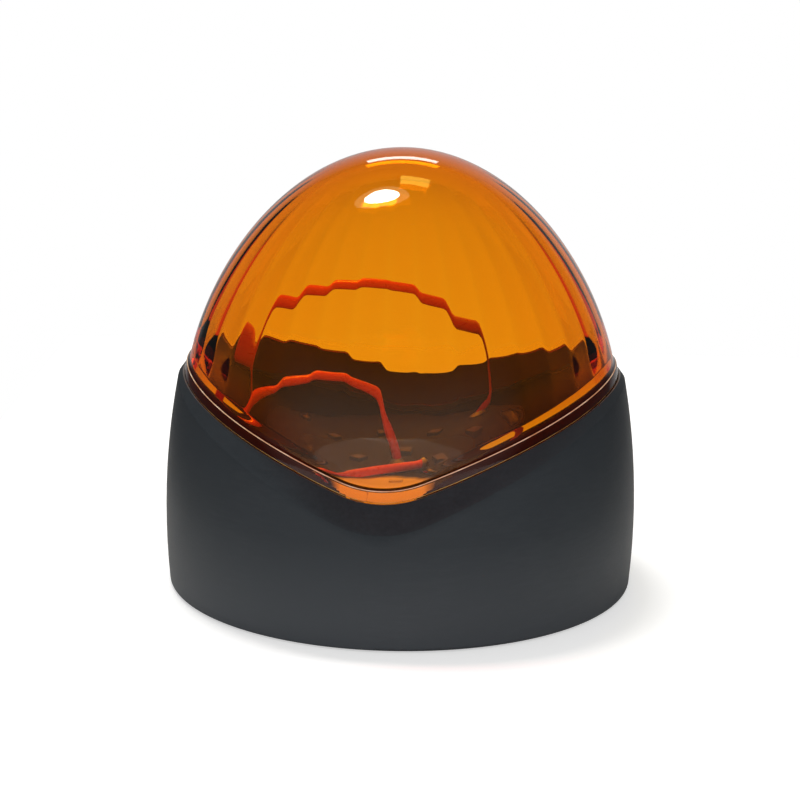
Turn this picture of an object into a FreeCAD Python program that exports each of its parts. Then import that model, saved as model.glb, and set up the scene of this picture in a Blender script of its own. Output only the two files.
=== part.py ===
import FreeCAD, Part
import math
import os
import re

import Sketcher
from FreeCAD import Placement, Rotation, Vector

# Flashing warning light: an amber dome on a round base. Millimetres, +Z up, origin at the centre of the
# underside. The rim between base and dome dips at the front (-Y) and back and rises at the two sides.

SIZES = {
    # Base housing, a barrel that is widest a little above its foot
    "belly_radius": 62.5,
    "belly_height": 19.0,
    "side_arc": 197.0,
    "base_wall": 2.8,
    "base_floor": 3.0,
    "foot_round": 1.0,
    # Rim, a rounded V seen from the front, and the bevel outside it
    "rim_dip": 37.3,
    "rim_slope": 21.0,
    "rim_round": 30.0,
    "rim_land": 0.5,
    "bevel_drop": 6.8,
    # Amber lens
    "lens_height": 116.0,
    "shoulder_inset": 5.4,
    "shoulder_height": 52.0,
    "dome_power": 1.6,
    "skirt_draft": 1.0,
    "skirt_depth": 5.0,
    "lens_wall": 3.0,
    "lens_gap": 0.3,
    "flute_count": 36,
    "flute_depth": 0.5,
    "crown_radius": 15.5,
    "crown_step": 0.4,
    "flange_height": 3.6,
    "flange_proud": 0.7,
    "flange_gap": 0.3,
    # Seal under the lens skirt, and the ledge in the rim that carries it
    "seal_width": 2.2,
    "seal_thick": 1.5,
    "seal_gap": 0.3,
    "ledge_width": 2.8,
    "ledge_thick": 2.5,
    # Fixing holes in the floor and the cable grommet
    "fixing_spacing": 90.0,
    "fixing_radius": 2.6,
    "access_radius": 5.0,
    "grommet_back": 19.5,
    "grommet_bore": 3.5,
    "grommet_neck": 6.0,
    "grommet_flange": 8.5,
    "grommet_lip": 2.0,
    "grommet_gap": 0.1,
    # Screws for both boards, and the posts that take them
    "screw_radius": 1.45,
    "screw_length": 7.0,
    "screw_head_radius": 2.8,
    "screw_head_tall": 2.0,
    "screw_slot": 0.8,
    "pilot_radius": 1.6,
    "pilot_depth": 8.0,
    "post_radius": 3.6,
    "hole_gap": 0.2,
    # LED board
    "board_thick": 1.6,
    "led_board_top": 30.0,
    "led_board_gap": 1.3,
    "led_post_inset": 7.0,
    "inner_ring_count": 6,
    "inner_ring_radius": 14.0,
    "outer_ring_count": 12,
    "outer_ring_radius": 31.0,
    "led_side": 3.5,
    "led_tall": 1.0,
    "led_window": 2.5,
    "led_window_deep": 0.3,
    # Driver board
    "driver_height": 10.0,
    "driver_length": 66.0,
    "driver_width": 46.0,
    "driver_forward": 2.0,
    "driver_corner": 3.0,
    "driver_hole_inset": 4.0,
    # Supply terminal
    "pole_pitch": 5.0,
    "terminal_back": 15.0,
    "terminal_deep": 8.4,
    "terminal_tall": 10.6,
    "terminal_end_wall": 0.8,
    "terminal_slope": 1.6,
    "cell_width": 4.0,
    "cell_deep": 4.8,
    "cell_tall": 8.0,
    "well_radius": 1.8,
    "well_deep": 1.7,
    "funnel_width": 3.2,
    "funnel_tall": 3.6,
    "cage_gap": 0.3,
    "cage_tall": 5.0,
    "cage_metal": 0.5,
    "clamp_head_radius": 1.6,
    "clamp_head_tall": 1.5,
    "clamp_shank_radius": 1.1,
    "clamp_shank_length": 5.0,
    "clamp_hole_gap": 0.15,
    # Socket that the two leads plug into
    "socket_left": 32.0,
    "socket_deep": 8.0,
    "socket_wide": 28.0,
    "socket_tall": 7.0,
    "socket_hole_deep": 5.0,
    "socket_hole_rise": 3.6,
    "lead_radius": 1.2,
    "lead_gap": 0.15,
    "lead_hole_radius": 2.2,
    "joint_radius": 2.2,
    "joint_tall": 1.6,
    "bridge_rise": 1.5,
    "bridge_joint_length": 2.2,
    # Fuse
    "fuse_right": 16.0,
    "fuse_front": 18.0,
    "fuse_rise": 4.0,
    "fuse_radius": 2.5,
    "fuse_length": 20.0,
    "fuse_cap_length": 5.0,
    "fuse_cap_wall": 0.3,
    "fuse_glass_wall": 0.6,
    "clip_metal": 0.5,
    "clip_tall": 6.2,
    "clip_width": 3.6,
    "clip_gap": 0.1,
    # Other parts of the flasher circuit
    "can_right": 22.0,
    "can_back": 9.0,
    "can_radius": 5.0,
    "can_tall": 13.0,
    "bridge_right": 23.0,
    "bridge_front": 7.0,
    "bridge_side": 7.4,
    "bridge_tall": 5.0,
    "chip_left": 6.0,
    "chip_front": 6.0,
    "chip_length": 9.4,
    "chip_width": 6.4,
    "chip_tall": 3.3,
    "chip_rise": 0.6,
    "leg_pitch": 2.54,
    "leg_metal": 0.4,
    "leg_width": 0.7,
    "tab_right": 8.0,
    "tab_front": 5.0,
    "tab_width": 10.0,
    "tab_length": 15.5,
    "tab_metal": 1.3,
    "tab_body_length": 9.2,
    "tab_body_tall": 4.4,
    "tab_hole_radius": 1.9,
    "choke_left": 12.0,
    "choke_back": 9.0,
    "choke_radius": 4.6,
    "choke_tall": 9.0,
    "choke_core_radius": 2.4,
    "choke_flange": 1.4,
    "resistor_radius": 1.2,
    "resistor_bead": 1.45,
    "resistor_length": 6.6,
    "resistor_pitch": 4.0,
    "resistor_right": 4.0,
    "resistor_front": 18.0,
}

# Routes of the two red leads: the points between the socket and the solder joints on the LED board.
# The bridge is a third lead, which lies on that board between two of its pads.
LONG_ROUTE = [(-38, 9, 15.2), (-45.5, 12, 24), (-45.5, 12, 49), (-42, 4, 65), (-29, -5, 80),
              (-2, -4, 84), (13, 7, 74), (20.5, 26, 61), (21, 40, 46)]
SHORT_ROUTE = [(-37, -12, 15.2), (-44, -15.5, 24), (-44, -15.5, 41), (-37, -10, 53), (-23, -2, 59),
               (-8.5, 2, 53), (-1.3, 4, 43)]
LONG_SOCKET = LONG_ROUTE[0][1]
SHORT_SOCKET = SHORT_ROUTE[0][1]
BRIDGE_ROUTE = [(-21.5, -17.5), (-14, -13.8), (-3.6, -6.2), (7, -0.4)]

# How finely the wavy rim and the dome are sampled, and how far cutting tools reach past the part
RIM_STEPS = 72
DOME_STEPS = 10
FLUTE_SECTIONS = 7
BEVEL_REACH = 1.25
REACH = 90.0
FULL_TURN = 360.0

doc = FreeCAD.newDocument("FlashingLight")
sheet = doc.addObject("Spreadsheet::Sheet", "Sizes")
for row, (alias, value) in enumerate(SIZES.items(), start=1):
    sheet.set(f"A{row}", alias)
    sheet.set(f"B{row}", str(value))
    sheet.setAlias(f"B{row}", alias)
doc.recompute()

nodes = []


# Reading sizes and drawing sketches

def bound(text):
    """Expression with every named size pointed at the sheet."""
    def point(word):
        return "Sizes." + word.group() if word.group() in SIZES else word.group()
    return re.sub(r"[a-z][a-z_]*", point, text)


def number(text):
    """Value of an expression in the named sizes."""
    return float(sheet.evalExpression(bound(text)))


def keep(piece, label):
    """Name a finished sub-part and put it on the list of files to write."""
    piece.Label = label
    nodes.append(piece)
    return piece


def seat(piece, x="0", y="0", z="0"):
    """Bind the place of a sub-part to the sheet."""
    for axis, text in zip("xyz", (x, y, z)):
        piece.setExpression(f"Placement.Base.{axis}", bound(text))


def new_body(name):
    return doc.addObject("PartDesign::Body", name)


def new_sketch(body, role, lift="0"):
    """Empty sketch on one of the body's own origin planes, lifted along its normal."""
    sketch = body.newObject("Sketcher::SketchObject", "Outline")
    plane = [item for item in body.Origin.OriginFeatures if item.Role == role][0]
    sketch.AttachmentSupport = (plane, [""])
    sketch.MapMode = "FlatFace"
    sketch.setExpression("AttachmentOffset.Base.z", bound(lift))
    return sketch


def tie(sketch, kind, where, text, name):
    """Add one driven dimension and bind it to the sheet."""
    index = sketch.addConstraint(Sketcher.Constraint(kind, *where, number(text)))
    sketch.renameConstraint(index, name)
    sketch.setExpression("Constraints." + name, bound(text))


def arc_between(start, end, radius, turn):
    """Arc from start to end, turning left for +1 and right for -1."""
    chord = end - start
    middle = (start + end) * 0.5
    left = Vector(-chord.y, chord.x, 0).normalize()
    rise = math.sqrt(radius ** 2 - (chord.Length / 2) ** 2)
    centre = middle + left * (rise * turn)
    first, last = (start, end) if turn > 0 else (end, start)
    circle = Part.Circle(centre, Vector(0, 0, 1), radius)
    return Part.ArcOfCircle(circle, circle.parameter(first), circle.parameter(last))


def outline(sketch, corners, bends=None):
    """Closed outline through corners given as pairs of expressions; bends makes sides into arcs."""
    bends = bends or {}
    points = [Vector(number(x), number(y), 0) for x, y in corners]
    count = len(points)
    ends = []
    for side in range(count):
        start, end = points[side], points[(side + 1) % count]
        if side in bends:
            radius, turn = bends[side]
            sketch.addGeometry(arc_between(start, end, number(radius), turn), False)
            ends.append((1, 2) if turn > 0 else (2, 1))
        else:
            sketch.addGeometry(Part.LineSegment(start, end), False)
            ends.append((1, 2))
    for side in range(count):
        after = (side + 1) % count
        sketch.addConstraint(Sketcher.Constraint("Coincident", side, ends[side][1], after, ends[after][0]))
    for side, (x, y) in enumerate(corners):
        tie(sketch, "DistanceX", (-1, 1, side, ends[side][0]), x, f"across{side}")
        tie(sketch, "DistanceY", (-1, 1, side, ends[side][0]), y, f"along{side}")
        if side in bends:
            tie(sketch, "Radius", (side,), bends[side][0], f"bend{side}")
    return sketch


def rectangle(sketch, x, y, length, width):
    """Rectangle about a centre, all four given as expressions."""
    near, far = f"{x} - ({length}) / 2", f"{x} + ({length}) / 2"
    low, high = f"{y} - ({width}) / 2", f"{y} + ({width}) / 2"
    return outline(sketch, [(near, low), (far, low), (far, high), (near, high)])


def circles(sketch, rings):
    """Circles given as centre and radius expressions."""
    for index, (x, y, radius) in enumerate(rings):
        centre = Vector(number(x), number(y), 0)
        sketch.addGeometry(Part.Circle(centre, Vector(0, 0, 1), number(radius)), False)
        tie(sketch, "DistanceX", (-1, 1, index, 3), x, f"across{index}")
        tie(sketch, "DistanceY", (-1, 1, index, 3), y, f"along{index}")
        tie(sketch, "Radius", (index,), radius, f"radius{index}")
    return sketch


# Solid features

def pad(body, sketch, length, both_ways=False):
    feature = body.newObject("PartDesign::Pad", "Pad")
    feature.Profile = sketch
    feature.setExpression("Length", bound(length))
    feature.Midplane = both_ways
    doc.recompute()
    return feature


def pocket(body, sketch, length, along_normal=False, both_ways=False):
    """Cut a sketch into the body, and make sure that it removes material."""
    before = body.Shape.Volume
    feature = body.newObject("PartDesign::Pocket", "Pocket")
    feature.Profile = sketch
    feature.setExpression("Length", bound(length))
    feature.Reversed = along_normal
    feature.Midplane = both_ways
    doc.recompute()
    if body.Shape.Volume >= before:
        raise RuntimeError(f"{body.Name}: a pocket cuts nothing")
    return feature


def turned(name, corners, bends=None):
    """Body turned about its Z axis from a half section in X and Z."""
    body = new_body(name)
    sketch = outline(new_sketch(body, "XZ_Plane"), corners, bends)
    feature = body.newObject("PartDesign::Revolution", "Turned")
    feature.Profile = sketch
    feature.ReferenceAxis = (sketch, ["V_Axis"])
    feature.Angle = FULL_TURN
    doc.recompute()
    return body


def soften(body, radius, picks):
    """Round the edges of the body's last feature for which picks is true."""
    base = body.Tip
    names = [f"Edge{i}" for i, edge in enumerate(base.Shape.Edges, start=1) if picks(edge)]
    feature = body.newObject("PartDesign::Fillet", "Round")
    feature.Base = (base, names)
    feature.setExpression("Radius", bound(radius))
    doc.recompute()
    return feature


def solid_feature(name, shape):
    feature = doc.addObject("Part::Feature", name)
    feature.Shape = shape
    return feature


def boolean(kind, name, base, tool):
    feature = doc.addObject(f"Part::{kind}", name)
    feature.Base = base
    feature.Tool = tool
    doc.recompute()
    return feature


def copies(name, master, places):
    """One node that holds a copy of the master at each placement."""
    shapes = []
    for place in places:
        shape = master.Shape.copy()
        shape.Placement = place.multiply(shape.Placement)
        shapes.append(shape)
    return solid_feature(name, Part.makeCompound(shapes))


# The rim: every piece that follows it takes its height from here

SLOPE = math.radians(number("rim_slope"))
DIP = number("rim_dip")
DIP_ROUND = number("rim_round")
DRAFT = math.tan(math.radians(number("skirt_draft")))
SHOULDER = "(belly_radius - shoulder_inset)"


def rim_height(x):
    """Height of the rim at a distance x from the middle: straight slopes with a round dip between."""
    reach = DIP_ROUND * math.sin(SLOPE)
    if abs(x) < reach:
        return DIP + DIP_ROUND - math.sqrt(DIP_ROUND ** 2 - x ** 2)
    return DIP + DIP_ROUND * (1 - math.cos(SLOPE)) + (abs(x) - reach) * math.tan(SLOPE)


def seat_radius(z):
    """Inside of the base where the lens skirt drops in."""
    return number(f"{SHOULDER} + lens_gap") + (number("shoulder_height") - z) * DRAFT


def rim_prism(drop, above):
    """All space above or below the rim surface, lowered by drop."""
    reach = DIP_ROUND * math.sin(SLOPE)
    far = REACH if above else -REACH
    left = Vector(-REACH, -REACH, rim_height(REACH) - drop)
    left_bend = Vector(-reach, -REACH, rim_height(reach) - drop)
    low = Vector(0, -REACH, DIP - drop)
    right_bend = Vector(reach, -REACH, rim_height(reach) - drop)
    right = Vector(REACH, -REACH, rim_height(REACH) - drop)
    edges = [
        Part.LineSegment(left, left_bend),
        Part.Arc(left_bend, low, right_bend),
        Part.LineSegment(right_bend, right),
        Part.LineSegment(right, right + Vector(0, 0, far)),
        Part.LineSegment(right + Vector(0, 0, far), left + Vector(0, 0, far)),
        Part.LineSegment(left + Vector(0, 0, far), left),
    ]
    face = Part.Face(Part.Wire([edge.toShape() for edge in edges]))
    return face.extrude(Vector(0, 2 * REACH, 0))


def rim_band(top_drop, bottom_drop):
    """Layer that follows the rim between two depths below it."""
    return rim_prism(bottom_drop, True).cut(rim_prism(top_drop, True))


def ring(inner, outer, low, high):
    """Plain ring about the Z axis."""
    start = Vector(0, 0, low)
    return Part.makeCylinder(outer, high - low, start).cut(Part.makeCylinder(inner, high - low, start))


# Base housing

BARREL = "belly_radius - side_arc + sqrt(side_arc ^ 2 - ({z} - belly_height) ^ 2)"
BARREL_INSIDE = "belly_radius - side_arc + sqrt((side_arc - base_wall) ^ 2 - ({z} - belly_height) ^ 2)"
RIM_TOP = "(rim_dip + rim_round - rim_round / cos(rim_slope) + belly_radius * tan(rim_slope))"
LEDGE_EDGE = f"{SHOULDER} - ledge_width"
LED_BOARD_EDGE = f"{LEDGE_EDGE} - led_board_gap"
UNDER_LED_BOARD = "led_board_top - board_thick"
DRIVER_TOP = "driver_height + board_thick"
GROMMET_Y = "belly_radius - grommet_back"


def four_corners(half_length, half_width, forward="0"):
    """Centres of a four hole pattern as expressions."""
    return [(f"{sx} * ({half_length})", f"{sy} * ({half_width}) - {forward}")
            for sx in (-1, 1) for sy in (-1, 1)]


LED_POST_REACH = f"({LED_BOARD_EDGE} - led_post_inset) * sqrt(0.5)"
LED_HOLES = four_corners(LED_POST_REACH, LED_POST_REACH)
DRIVER_HOLES = four_corners("driver_length / 2 - driver_hole_inset", "driver_width / 2 - driver_hole_inset",
                            "driver_forward")
FIXING_HOLES = [("-fixing_spacing / 2", "0"), ("fixing_spacing / 2", "0")]


def base_blank():
    """Tub with its floor, posts and holes, before the rim is cut."""
    body = turned("base_blank", [
        ("0", "0"),
        (BARREL.format(z="foot_round") + " - foot_round", "0"),
        (BARREL.format(z="foot_round"), "foot_round"),
        (BARREL.format(z=RIM_TOP), RIM_TOP),
        (BARREL_INSIDE.format(z=RIM_TOP), RIM_TOP),
        (BARREL_INSIDE.format(z="base_floor"), "base_floor"),
        ("0", "base_floor"),
    ], {1: ("foot_round", 1), 2: ("side_arc", 1), 4: ("side_arc - base_wall", -1)})
    for holes, top in ((LED_HOLES, UNDER_LED_BOARD), (DRIVER_HOLES, "driver_height")):
        pad(body, circles(new_sketch(body, "XY_Plane"), [(x, y, "post_radius") for x, y in holes]), top)
        pilots = circles(new_sketch(body, "XY_Plane", top), [(x, y, "pilot_radius") for x, y in holes])
        pocket(body, pilots, f"min(pilot_depth; {top} - base_floor / 2)")
    openings = [(x, y, "fixing_radius") for x, y in FIXING_HOLES]
    openings.append(("0", GROMMET_Y, "grommet_neck + grommet_gap"))
    pocket(body, circles(new_sketch(body, "XY_Plane", "base_floor"), openings), "base_floor")
    return body


def bevel_solid():
    """Cone over the rim's inner edge, meeting the barrel at the stated drop below the dip."""
    land = number("rim_land")
    start = seat_radius(DIP) + land
    run = max(number(BARREL.format(z="(rim_dip - bevel_drop)")) - start, land)
    apex = Vector(0, 0, DIP + start * number("bevel_drop") / run)
    points = []
    for step in range(RIM_STEPS):
        turn = 2 * math.pi * step / RIM_STEPS
        radius = start
        for _ in range(4):
            radius = seat_radius(rim_height(radius * math.cos(turn))) + land
        height = rim_height(radius * math.cos(turn))
        edge = Vector(radius * math.cos(turn), radius * math.sin(turn), height)
        points.append(apex + (edge - apex) * BEVEL_REACH)
    curve = Part.BSplineCurve()
    curve.interpolate(points, PeriodicFlag=True)
    foot = Part.Circle(Vector(0, 0, -number("base_floor")), Vector(0, 0, 1), REACH)
    sections = [Part.Wire(foot.toShape()), Part.Wire(curve.toShape()), Part.Vertex(apex)]
    return Part.makeLoft(sections, True, True)


def collar_solid():
    """Thick upper part of the wall, from the underside of the seal's ledge upwards."""
    bottom = number("skirt_depth + seal_gap + seal_thick + ledge_thick")
    section = Part.Wire([
        Part.makeLine(Vector(number(LEDGE_EDGE), 0, 0),
                      Vector(number(BARREL.format(z="0") + " - base_wall / 2"), 0, 0)),
        Part.Arc(*[Vector(number(BARREL.format(z=z) + " - base_wall / 2"), 0, number(z))
                   for z in ("0", "belly_height", RIM_TOP)]).toShape(),
        Part.makeLine(Vector(number(BARREL.format(z=RIM_TOP) + " - base_wall / 2"), 0, number(RIM_TOP)),
                      Vector(number(LEDGE_EDGE), 0, number(RIM_TOP))),
        Part.makeLine(Vector(number(LEDGE_EDGE), 0, number(RIM_TOP)),
                      Vector(number(LEDGE_EDGE), 0, 0)),
    ])
    wall = Part.Face(section).revolve(Vector(), Vector(0, 0, 1), FULL_TURN)
    return wall.common(rim_prism(bottom, True))


def lens_pocket_solid():
    """Room for the lens skirt and its seal inside the rim."""
    low, high = 0, number(RIM_TOP)
    cone = Part.makeCone(seat_radius(low), seat_radius(high), high - low)
    return cone.common(rim_prism(number("skirt_depth + seal_gap + seal_thick"), True))


def build_base():
    collared = boolean("Fuse", "collared", base_blank(), solid_feature("rim_collar", collar_solid()))
    rimmed = boolean("Cut", "rimmed", collared, solid_feature("rim_cut", rim_prism(0, True)))
    bevelled = boolean("Common", "bevelled", rimmed, solid_feature("rim_bevel", bevel_solid()))
    pocketed = boolean("Cut", "base_housing", bevelled, solid_feature("lens_pocket", lens_pocket_solid()))
    keep(pocketed, "base_housing")


def build_seal():
    outer = number(SHOULDER)
    inner = number(f"{SHOULDER} - seal_width")
    top = number("skirt_depth + seal_gap")
    body = ring(inner, outer, 0, number(RIM_TOP)).common(rim_band(top, top + number("seal_thick")))
    keep(solid_feature("lens_seal", body), "lens_seal")


# Lens

def dome_point(angle, radius, height):
    """Point of the dome's section: angle 0 at the shoulder, 90 degrees at the top."""
    shoulder = number("shoulder_height")
    rise = (height - shoulder) * math.sin(angle) ** (2 / number("dome_power"))
    return Vector(radius * math.cos(angle), 0, shoulder + rise)


def dome_curve(radius, height, start):
    """Smooth curve of the dome's section from the start angle up to the top."""
    span = math.pi / 2 - start
    points = [dome_point(start + span * step / DOME_STEPS, radius, height) for step in range(DOME_STEPS)]
    points.append(Vector(0, 0, height))
    curve = Part.BSplineCurve()
    if start:
        curve.interpolate(points)
    else:
        curve.interpolate(points, InitialTangent=Vector(0, 0, 1), FinalTangent=Vector(-1, 0, 0))
    return curve.toShape()


def spun(edges):
    """Solid turned about Z from a closed half section."""
    return Part.Face(Part.Wire(edges)).revolve(Vector(), Vector(0, 0, 1), FULL_TURN)


def dome_solid(grow):
    """Outside of the lens with its skirt, grown by the given distance."""
    shoulder = Vector(number(SHOULDER) + grow, 0, number("shoulder_height"))
    foot = Vector(shoulder.x + shoulder.z * DRAFT, 0, 0)
    top = Vector(0, 0, number("lens_height") + grow)
    return spun([
        Part.makeLine(Vector(), foot),
        Part.makeLine(foot, shoulder),
        dome_curve(shoulder.x, top.z, 0),
        Part.makeLine(top, Vector()),
    ])


def fluted_section(radius, height, full_radius):
    """Closed ring of shallow arcs that bulge inwards, one for each flute."""
    count = int(number("flute_count"))
    half_pitch = math.pi / count
    crest = radius * math.cos(half_pitch) - number("flute_depth") * radius / full_radius
    arcs = []
    for flute in range(count):
        middle = 2 * half_pitch * flute
        ends = [Vector(radius * math.cos(a), radius * math.sin(a), height)
                for a in (middle - half_pitch, middle + half_pitch)]
        top = Vector(crest * math.cos(middle), crest * math.sin(middle), height)
        arcs.append(Part.Arc(ends[0], top, ends[1]).toShape())
    return Part.Wire(arcs)


def cavity_solid():
    """Inside of the lens: fluted up to a plain round crown."""
    radius = number(f"{SHOULDER} - lens_wall")
    height = number("lens_height - lens_wall")
    crown_angle = math.acos(number("crown_radius") / radius)
    sections = [fluted_section(radius + number("shoulder_height") * DRAFT, 0, radius)]
    for step in range(FLUTE_SECTIONS + 1):
        point = dome_point(crown_angle * step / FLUTE_SECTIONS, radius, height)
        sections.append(fluted_section(point.x, point.z, radius))
    fluted = Part.makeLoft(sections, True, False)
    narrow = radius * number("(crown_radius - crown_step) / crown_radius")
    crown_foot = dome_point(crown_angle, narrow, height)
    crown = spun([
        Part.makeLine(Vector(0, 0, crown_foot.z), crown_foot),
        dome_curve(narrow, height, crown_angle),
        Part.makeLine(Vector(0, 0, height), Vector(0, 0, crown_foot.z)),
    ])
    return fluted.fuse(crown)


def build_lens():
    gap = number("flange_gap")
    flange = dome_solid(number("flange_proud")).common(rim_band(-gap - number("flange_height"), -gap))
    lens = dome_solid(0).fuse(flange).cut(cavity_solid())
    lens = lens.cut(rim_prism(number("skirt_depth"), False))
    keep(solid_feature("lens", lens), "lens")


# Screws and grommet

def board_screw():
    """Slotted pan head screw, its head resting on z = 0."""
    body = turned("board_screw", [
        ("0", "-screw_length"),
        ("screw_radius / 2", "-screw_length"),
        ("screw_radius", "screw_radius - screw_length"),
        ("screw_radius", "0"),
        ("screw_head_radius", "0"),
        ("screw_head_radius", "screw_head_tall / 2"),
        ("screw_head_radius / 2", "screw_head_tall"),
        ("0", "screw_head_tall"),
    ])
    slot = rectangle(new_sketch(body, "XY_Plane", "screw_head_tall"), "0", "0", "3 * screw_head_radius",
                     "screw_slot")
    pocket(body, slot, "screw_head_tall / 2")
    return body


def build_board_screws():
    master = board_screw()
    for name, holes, top in (("led_board_screws", LED_HOLES, "led_board_top"),
                             ("driver_board_screws", DRIVER_HOLES, DRIVER_TOP)):
        places = [Placement(Vector(number(x), number(y), number(top)), Rotation()) for x, y in holes]
        keep(copies(name, master, places), name)


def build_grommet():
    body = turned("cable_grommet", [
        ("grommet_bore", "0"),
        ("grommet_neck", "0"),
        ("grommet_neck", "base_floor"),
        ("grommet_flange", "base_floor"),
        ("grommet_flange - grommet_lip / 2", "base_floor + grommet_lip"),
        ("grommet_bore + grommet_lip", "base_floor + grommet_lip"),
        ("grommet_bore + grommet_lip / 2", "base_floor + 2 * grommet_lip"),
        ("grommet_bore", "base_floor + 2 * grommet_lip"),
    ])
    seat(body, y=GROMMET_Y)
    keep(body, "cable_grommet")


# LED board

def build_led_board():
    body = new_body("led_board")
    disc = circles(new_sketch(body, "XY_Plane", UNDER_LED_BOARD), [("0", "0", LED_BOARD_EDGE)])
    pad(body, disc, "board_thick")
    holes = [(x, y, "screw_radius + hole_gap") for x, y in LED_HOLES]
    holes += [(x, y, "access_radius") for x, y in FIXING_HOLES]
    holes += [(str(x), str(y), "lead_hole_radius") for x, y, _ in (LONG_ROUTE[1], SHORT_ROUTE[1])]
    pocket(body, circles(new_sketch(body, "XY_Plane", "led_board_top"), holes), "board_thick")
    keep(body, "led_board")


def led_places():
    """Two rings of LEDs, each turned to face outwards."""
    places = []
    for ring_name in ("inner", "outer"):
        count = int(number(f"{ring_name}_ring_count"))
        radius = number(f"{ring_name}_ring_radius")
        for index in range(count):
            spin = Rotation(Vector(0, 0, 1), FULL_TURN * (index + 0.5) / count)
            middle = spin.multVec(Vector(radius, 0, 0)) + Vector(0, 0, number("led_board_top"))
            places.append(Placement(middle, spin))
    return places


def build_leds():
    package = new_body("led_package")
    pad(package, rectangle(new_sketch(package, "XY_Plane"), "0", "0", "led_side", "led_side"), "led_tall")
    well = rectangle(new_sketch(package, "XY_Plane", "led_tall"), "0", "0", "led_window", "led_window")
    pocket(package, well, "led_window_deep")
    window = new_body("led_window_master")
    top = new_sketch(window, "XY_Plane", "led_tall - led_window_deep")
    pad(window, rectangle(top, "0", "0", "led_window", "led_window"), "led_window_deep")
    keep(copies("led_packages", package, led_places()), "led_packages")
    keep(copies("led_windows", window, led_places()), "led_windows")


# Leads

def lead_path(points):
    """Straight runs joined by tangent arcs, each as large as its two runs allow."""
    edges = []
    start = points[0]
    for before, corner, after in zip(points, points[1:], points[2:]):
        back = (before - corner)
        ahead = (after - corner)
        trim = 0.45 * min(back.Length, ahead.Length)
        half_turn = (math.pi - back.getAngle(ahead)) / 2
        radius = trim / math.tan(half_turn)
        back.normalize()
        ahead.normalize()
        middle_way = (back + ahead).normalize()
        to_centre = radius / math.cos(half_turn)
        arc_middle = corner + middle_way * (to_centre - radius)
        arc_start = corner + back * trim
        arc_end = corner + ahead * trim
        edges.append(Part.LineSegment(start, arc_start).toShape())
        edges.append(Part.Arc(arc_start, arc_middle, arc_end).toShape())
        start = arc_end
    edges.append(Part.LineSegment(start, points[-1]).toShape())
    return Part.Wire(edges)


def lead_points(route, socket_y):
    """Whole route of a lead, from its socket to the top of its solder joint."""
    inner_end = -number("socket_left - socket_hole_deep + lead_gap")
    first = Vector(inner_end, socket_y, number(DRIVER_TOP + " + socket_hole_rise"))
    foot = Vector(route[-1][0], route[-1][1], number("led_board_top + joint_tall"))
    return [first] + [Vector(*point) for point in route] + [foot]


def build_lead(name, points):
    """Round lead along a route, with its volume compared with its section times its length."""
    path = lead_path(points)
    circle = Part.Circle(points[0], points[1] - points[0], number("lead_radius"))
    tube = path.makePipeShell([Part.Wire(circle.toShape())], True, False)
    expected = math.pi * number("lead_radius") ** 2 * path.Length
    if abs(tube.Volume - expected) > 0.01 * expected:
        raise RuntimeError(f"{name}: volume {tube.Volume} but expected {expected}")
    keep(solid_feature(name, tube), name)


def build_leads():
    joints = []
    for name, route, socket_y in (("lead_long", LONG_ROUTE, LONG_SOCKET),
                                  ("lead_short", SHORT_ROUTE, SHORT_SOCKET)):
        points = lead_points(route, socket_y)
        build_lead(name, points)
        joints.append(Placement(Vector(points[-1].x, points[-1].y, number("led_board_top")), Rotation()))
    cone = turned("lead_joint", [
        ("0", "0"),
        ("joint_radius", "0"),
        ("lead_radius", "joint_tall"),
        ("0", "joint_tall"),
    ])
    bridge = [Vector(x, y, number("led_board_top + bridge_rise")) for x, y in BRIDGE_ROUTE]
    build_lead("lead_bridge", bridge)
    stub = turned("bridge_joint", [
        ("0", "0"),
        ("bridge_rise", "0"),
        ("bridge_rise", "bridge_joint_length - lead_radius"),
        ("lead_radius / 2", "bridge_joint_length"),
        ("0", "bridge_joint_length"),
    ])
    ends = [Placement(end, Rotation(Vector(0, 0, 1), end - inner))
            for end, inner in ((bridge[0], bridge[1]), (bridge[-1], bridge[-2]))]
    solids = copies("upright_joints", cone, joints).Shape.Solids
    solids += copies("flat_joints", stub, ends).Shape.Solids
    keep(solid_feature("lead_joints", Part.makeCompound(solids)), "lead_joints")


def build_lead_socket():
    body = new_body("lead_socket")
    base = new_sketch(body, "XY_Plane", DRIVER_TOP)
    middle_y = str((LONG_SOCKET + SHORT_SOCKET) / 2)
    pad(body, rectangle(base, "socket_deep / 2 - socket_left", middle_y, "socket_deep", "socket_wide"),
        "socket_tall")
    face = new_sketch(body, "YZ_Plane", "-socket_left")
    rise = DRIVER_TOP + " + socket_hole_rise"
    holes = circles(face, [(str(y), rise, "lead_radius + lead_gap") for y in (LONG_SOCKET, SHORT_SOCKET)])
    pocket(body, holes, "socket_hole_deep", along_normal=True)
    keep(body, "lead_socket")


# Driver board and its parts

def build_driver_board():
    body = new_body("driver_board")
    plate = rectangle(new_sketch(body, "XY_Plane", "driver_height"), "0", "-driver_forward",
                      "driver_length", "driver_width")
    pad(body, plate, "board_thick")
    soften(body, "driver_corner", lambda edge: abs(edge.tangentAt(edge.FirstParameter).z) > 0.9)
    holes = circles(new_sketch(body, "XY_Plane", DRIVER_TOP),
                    [(x, y, "screw_radius + hole_gap") for x, y in DRIVER_HOLES])
    pocket(body, holes, "board_thick")
    keep(body, "driver_board")


POLES = {"left": "-pole_pitch / 2", "right": "pole_pitch / 2"}


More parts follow.
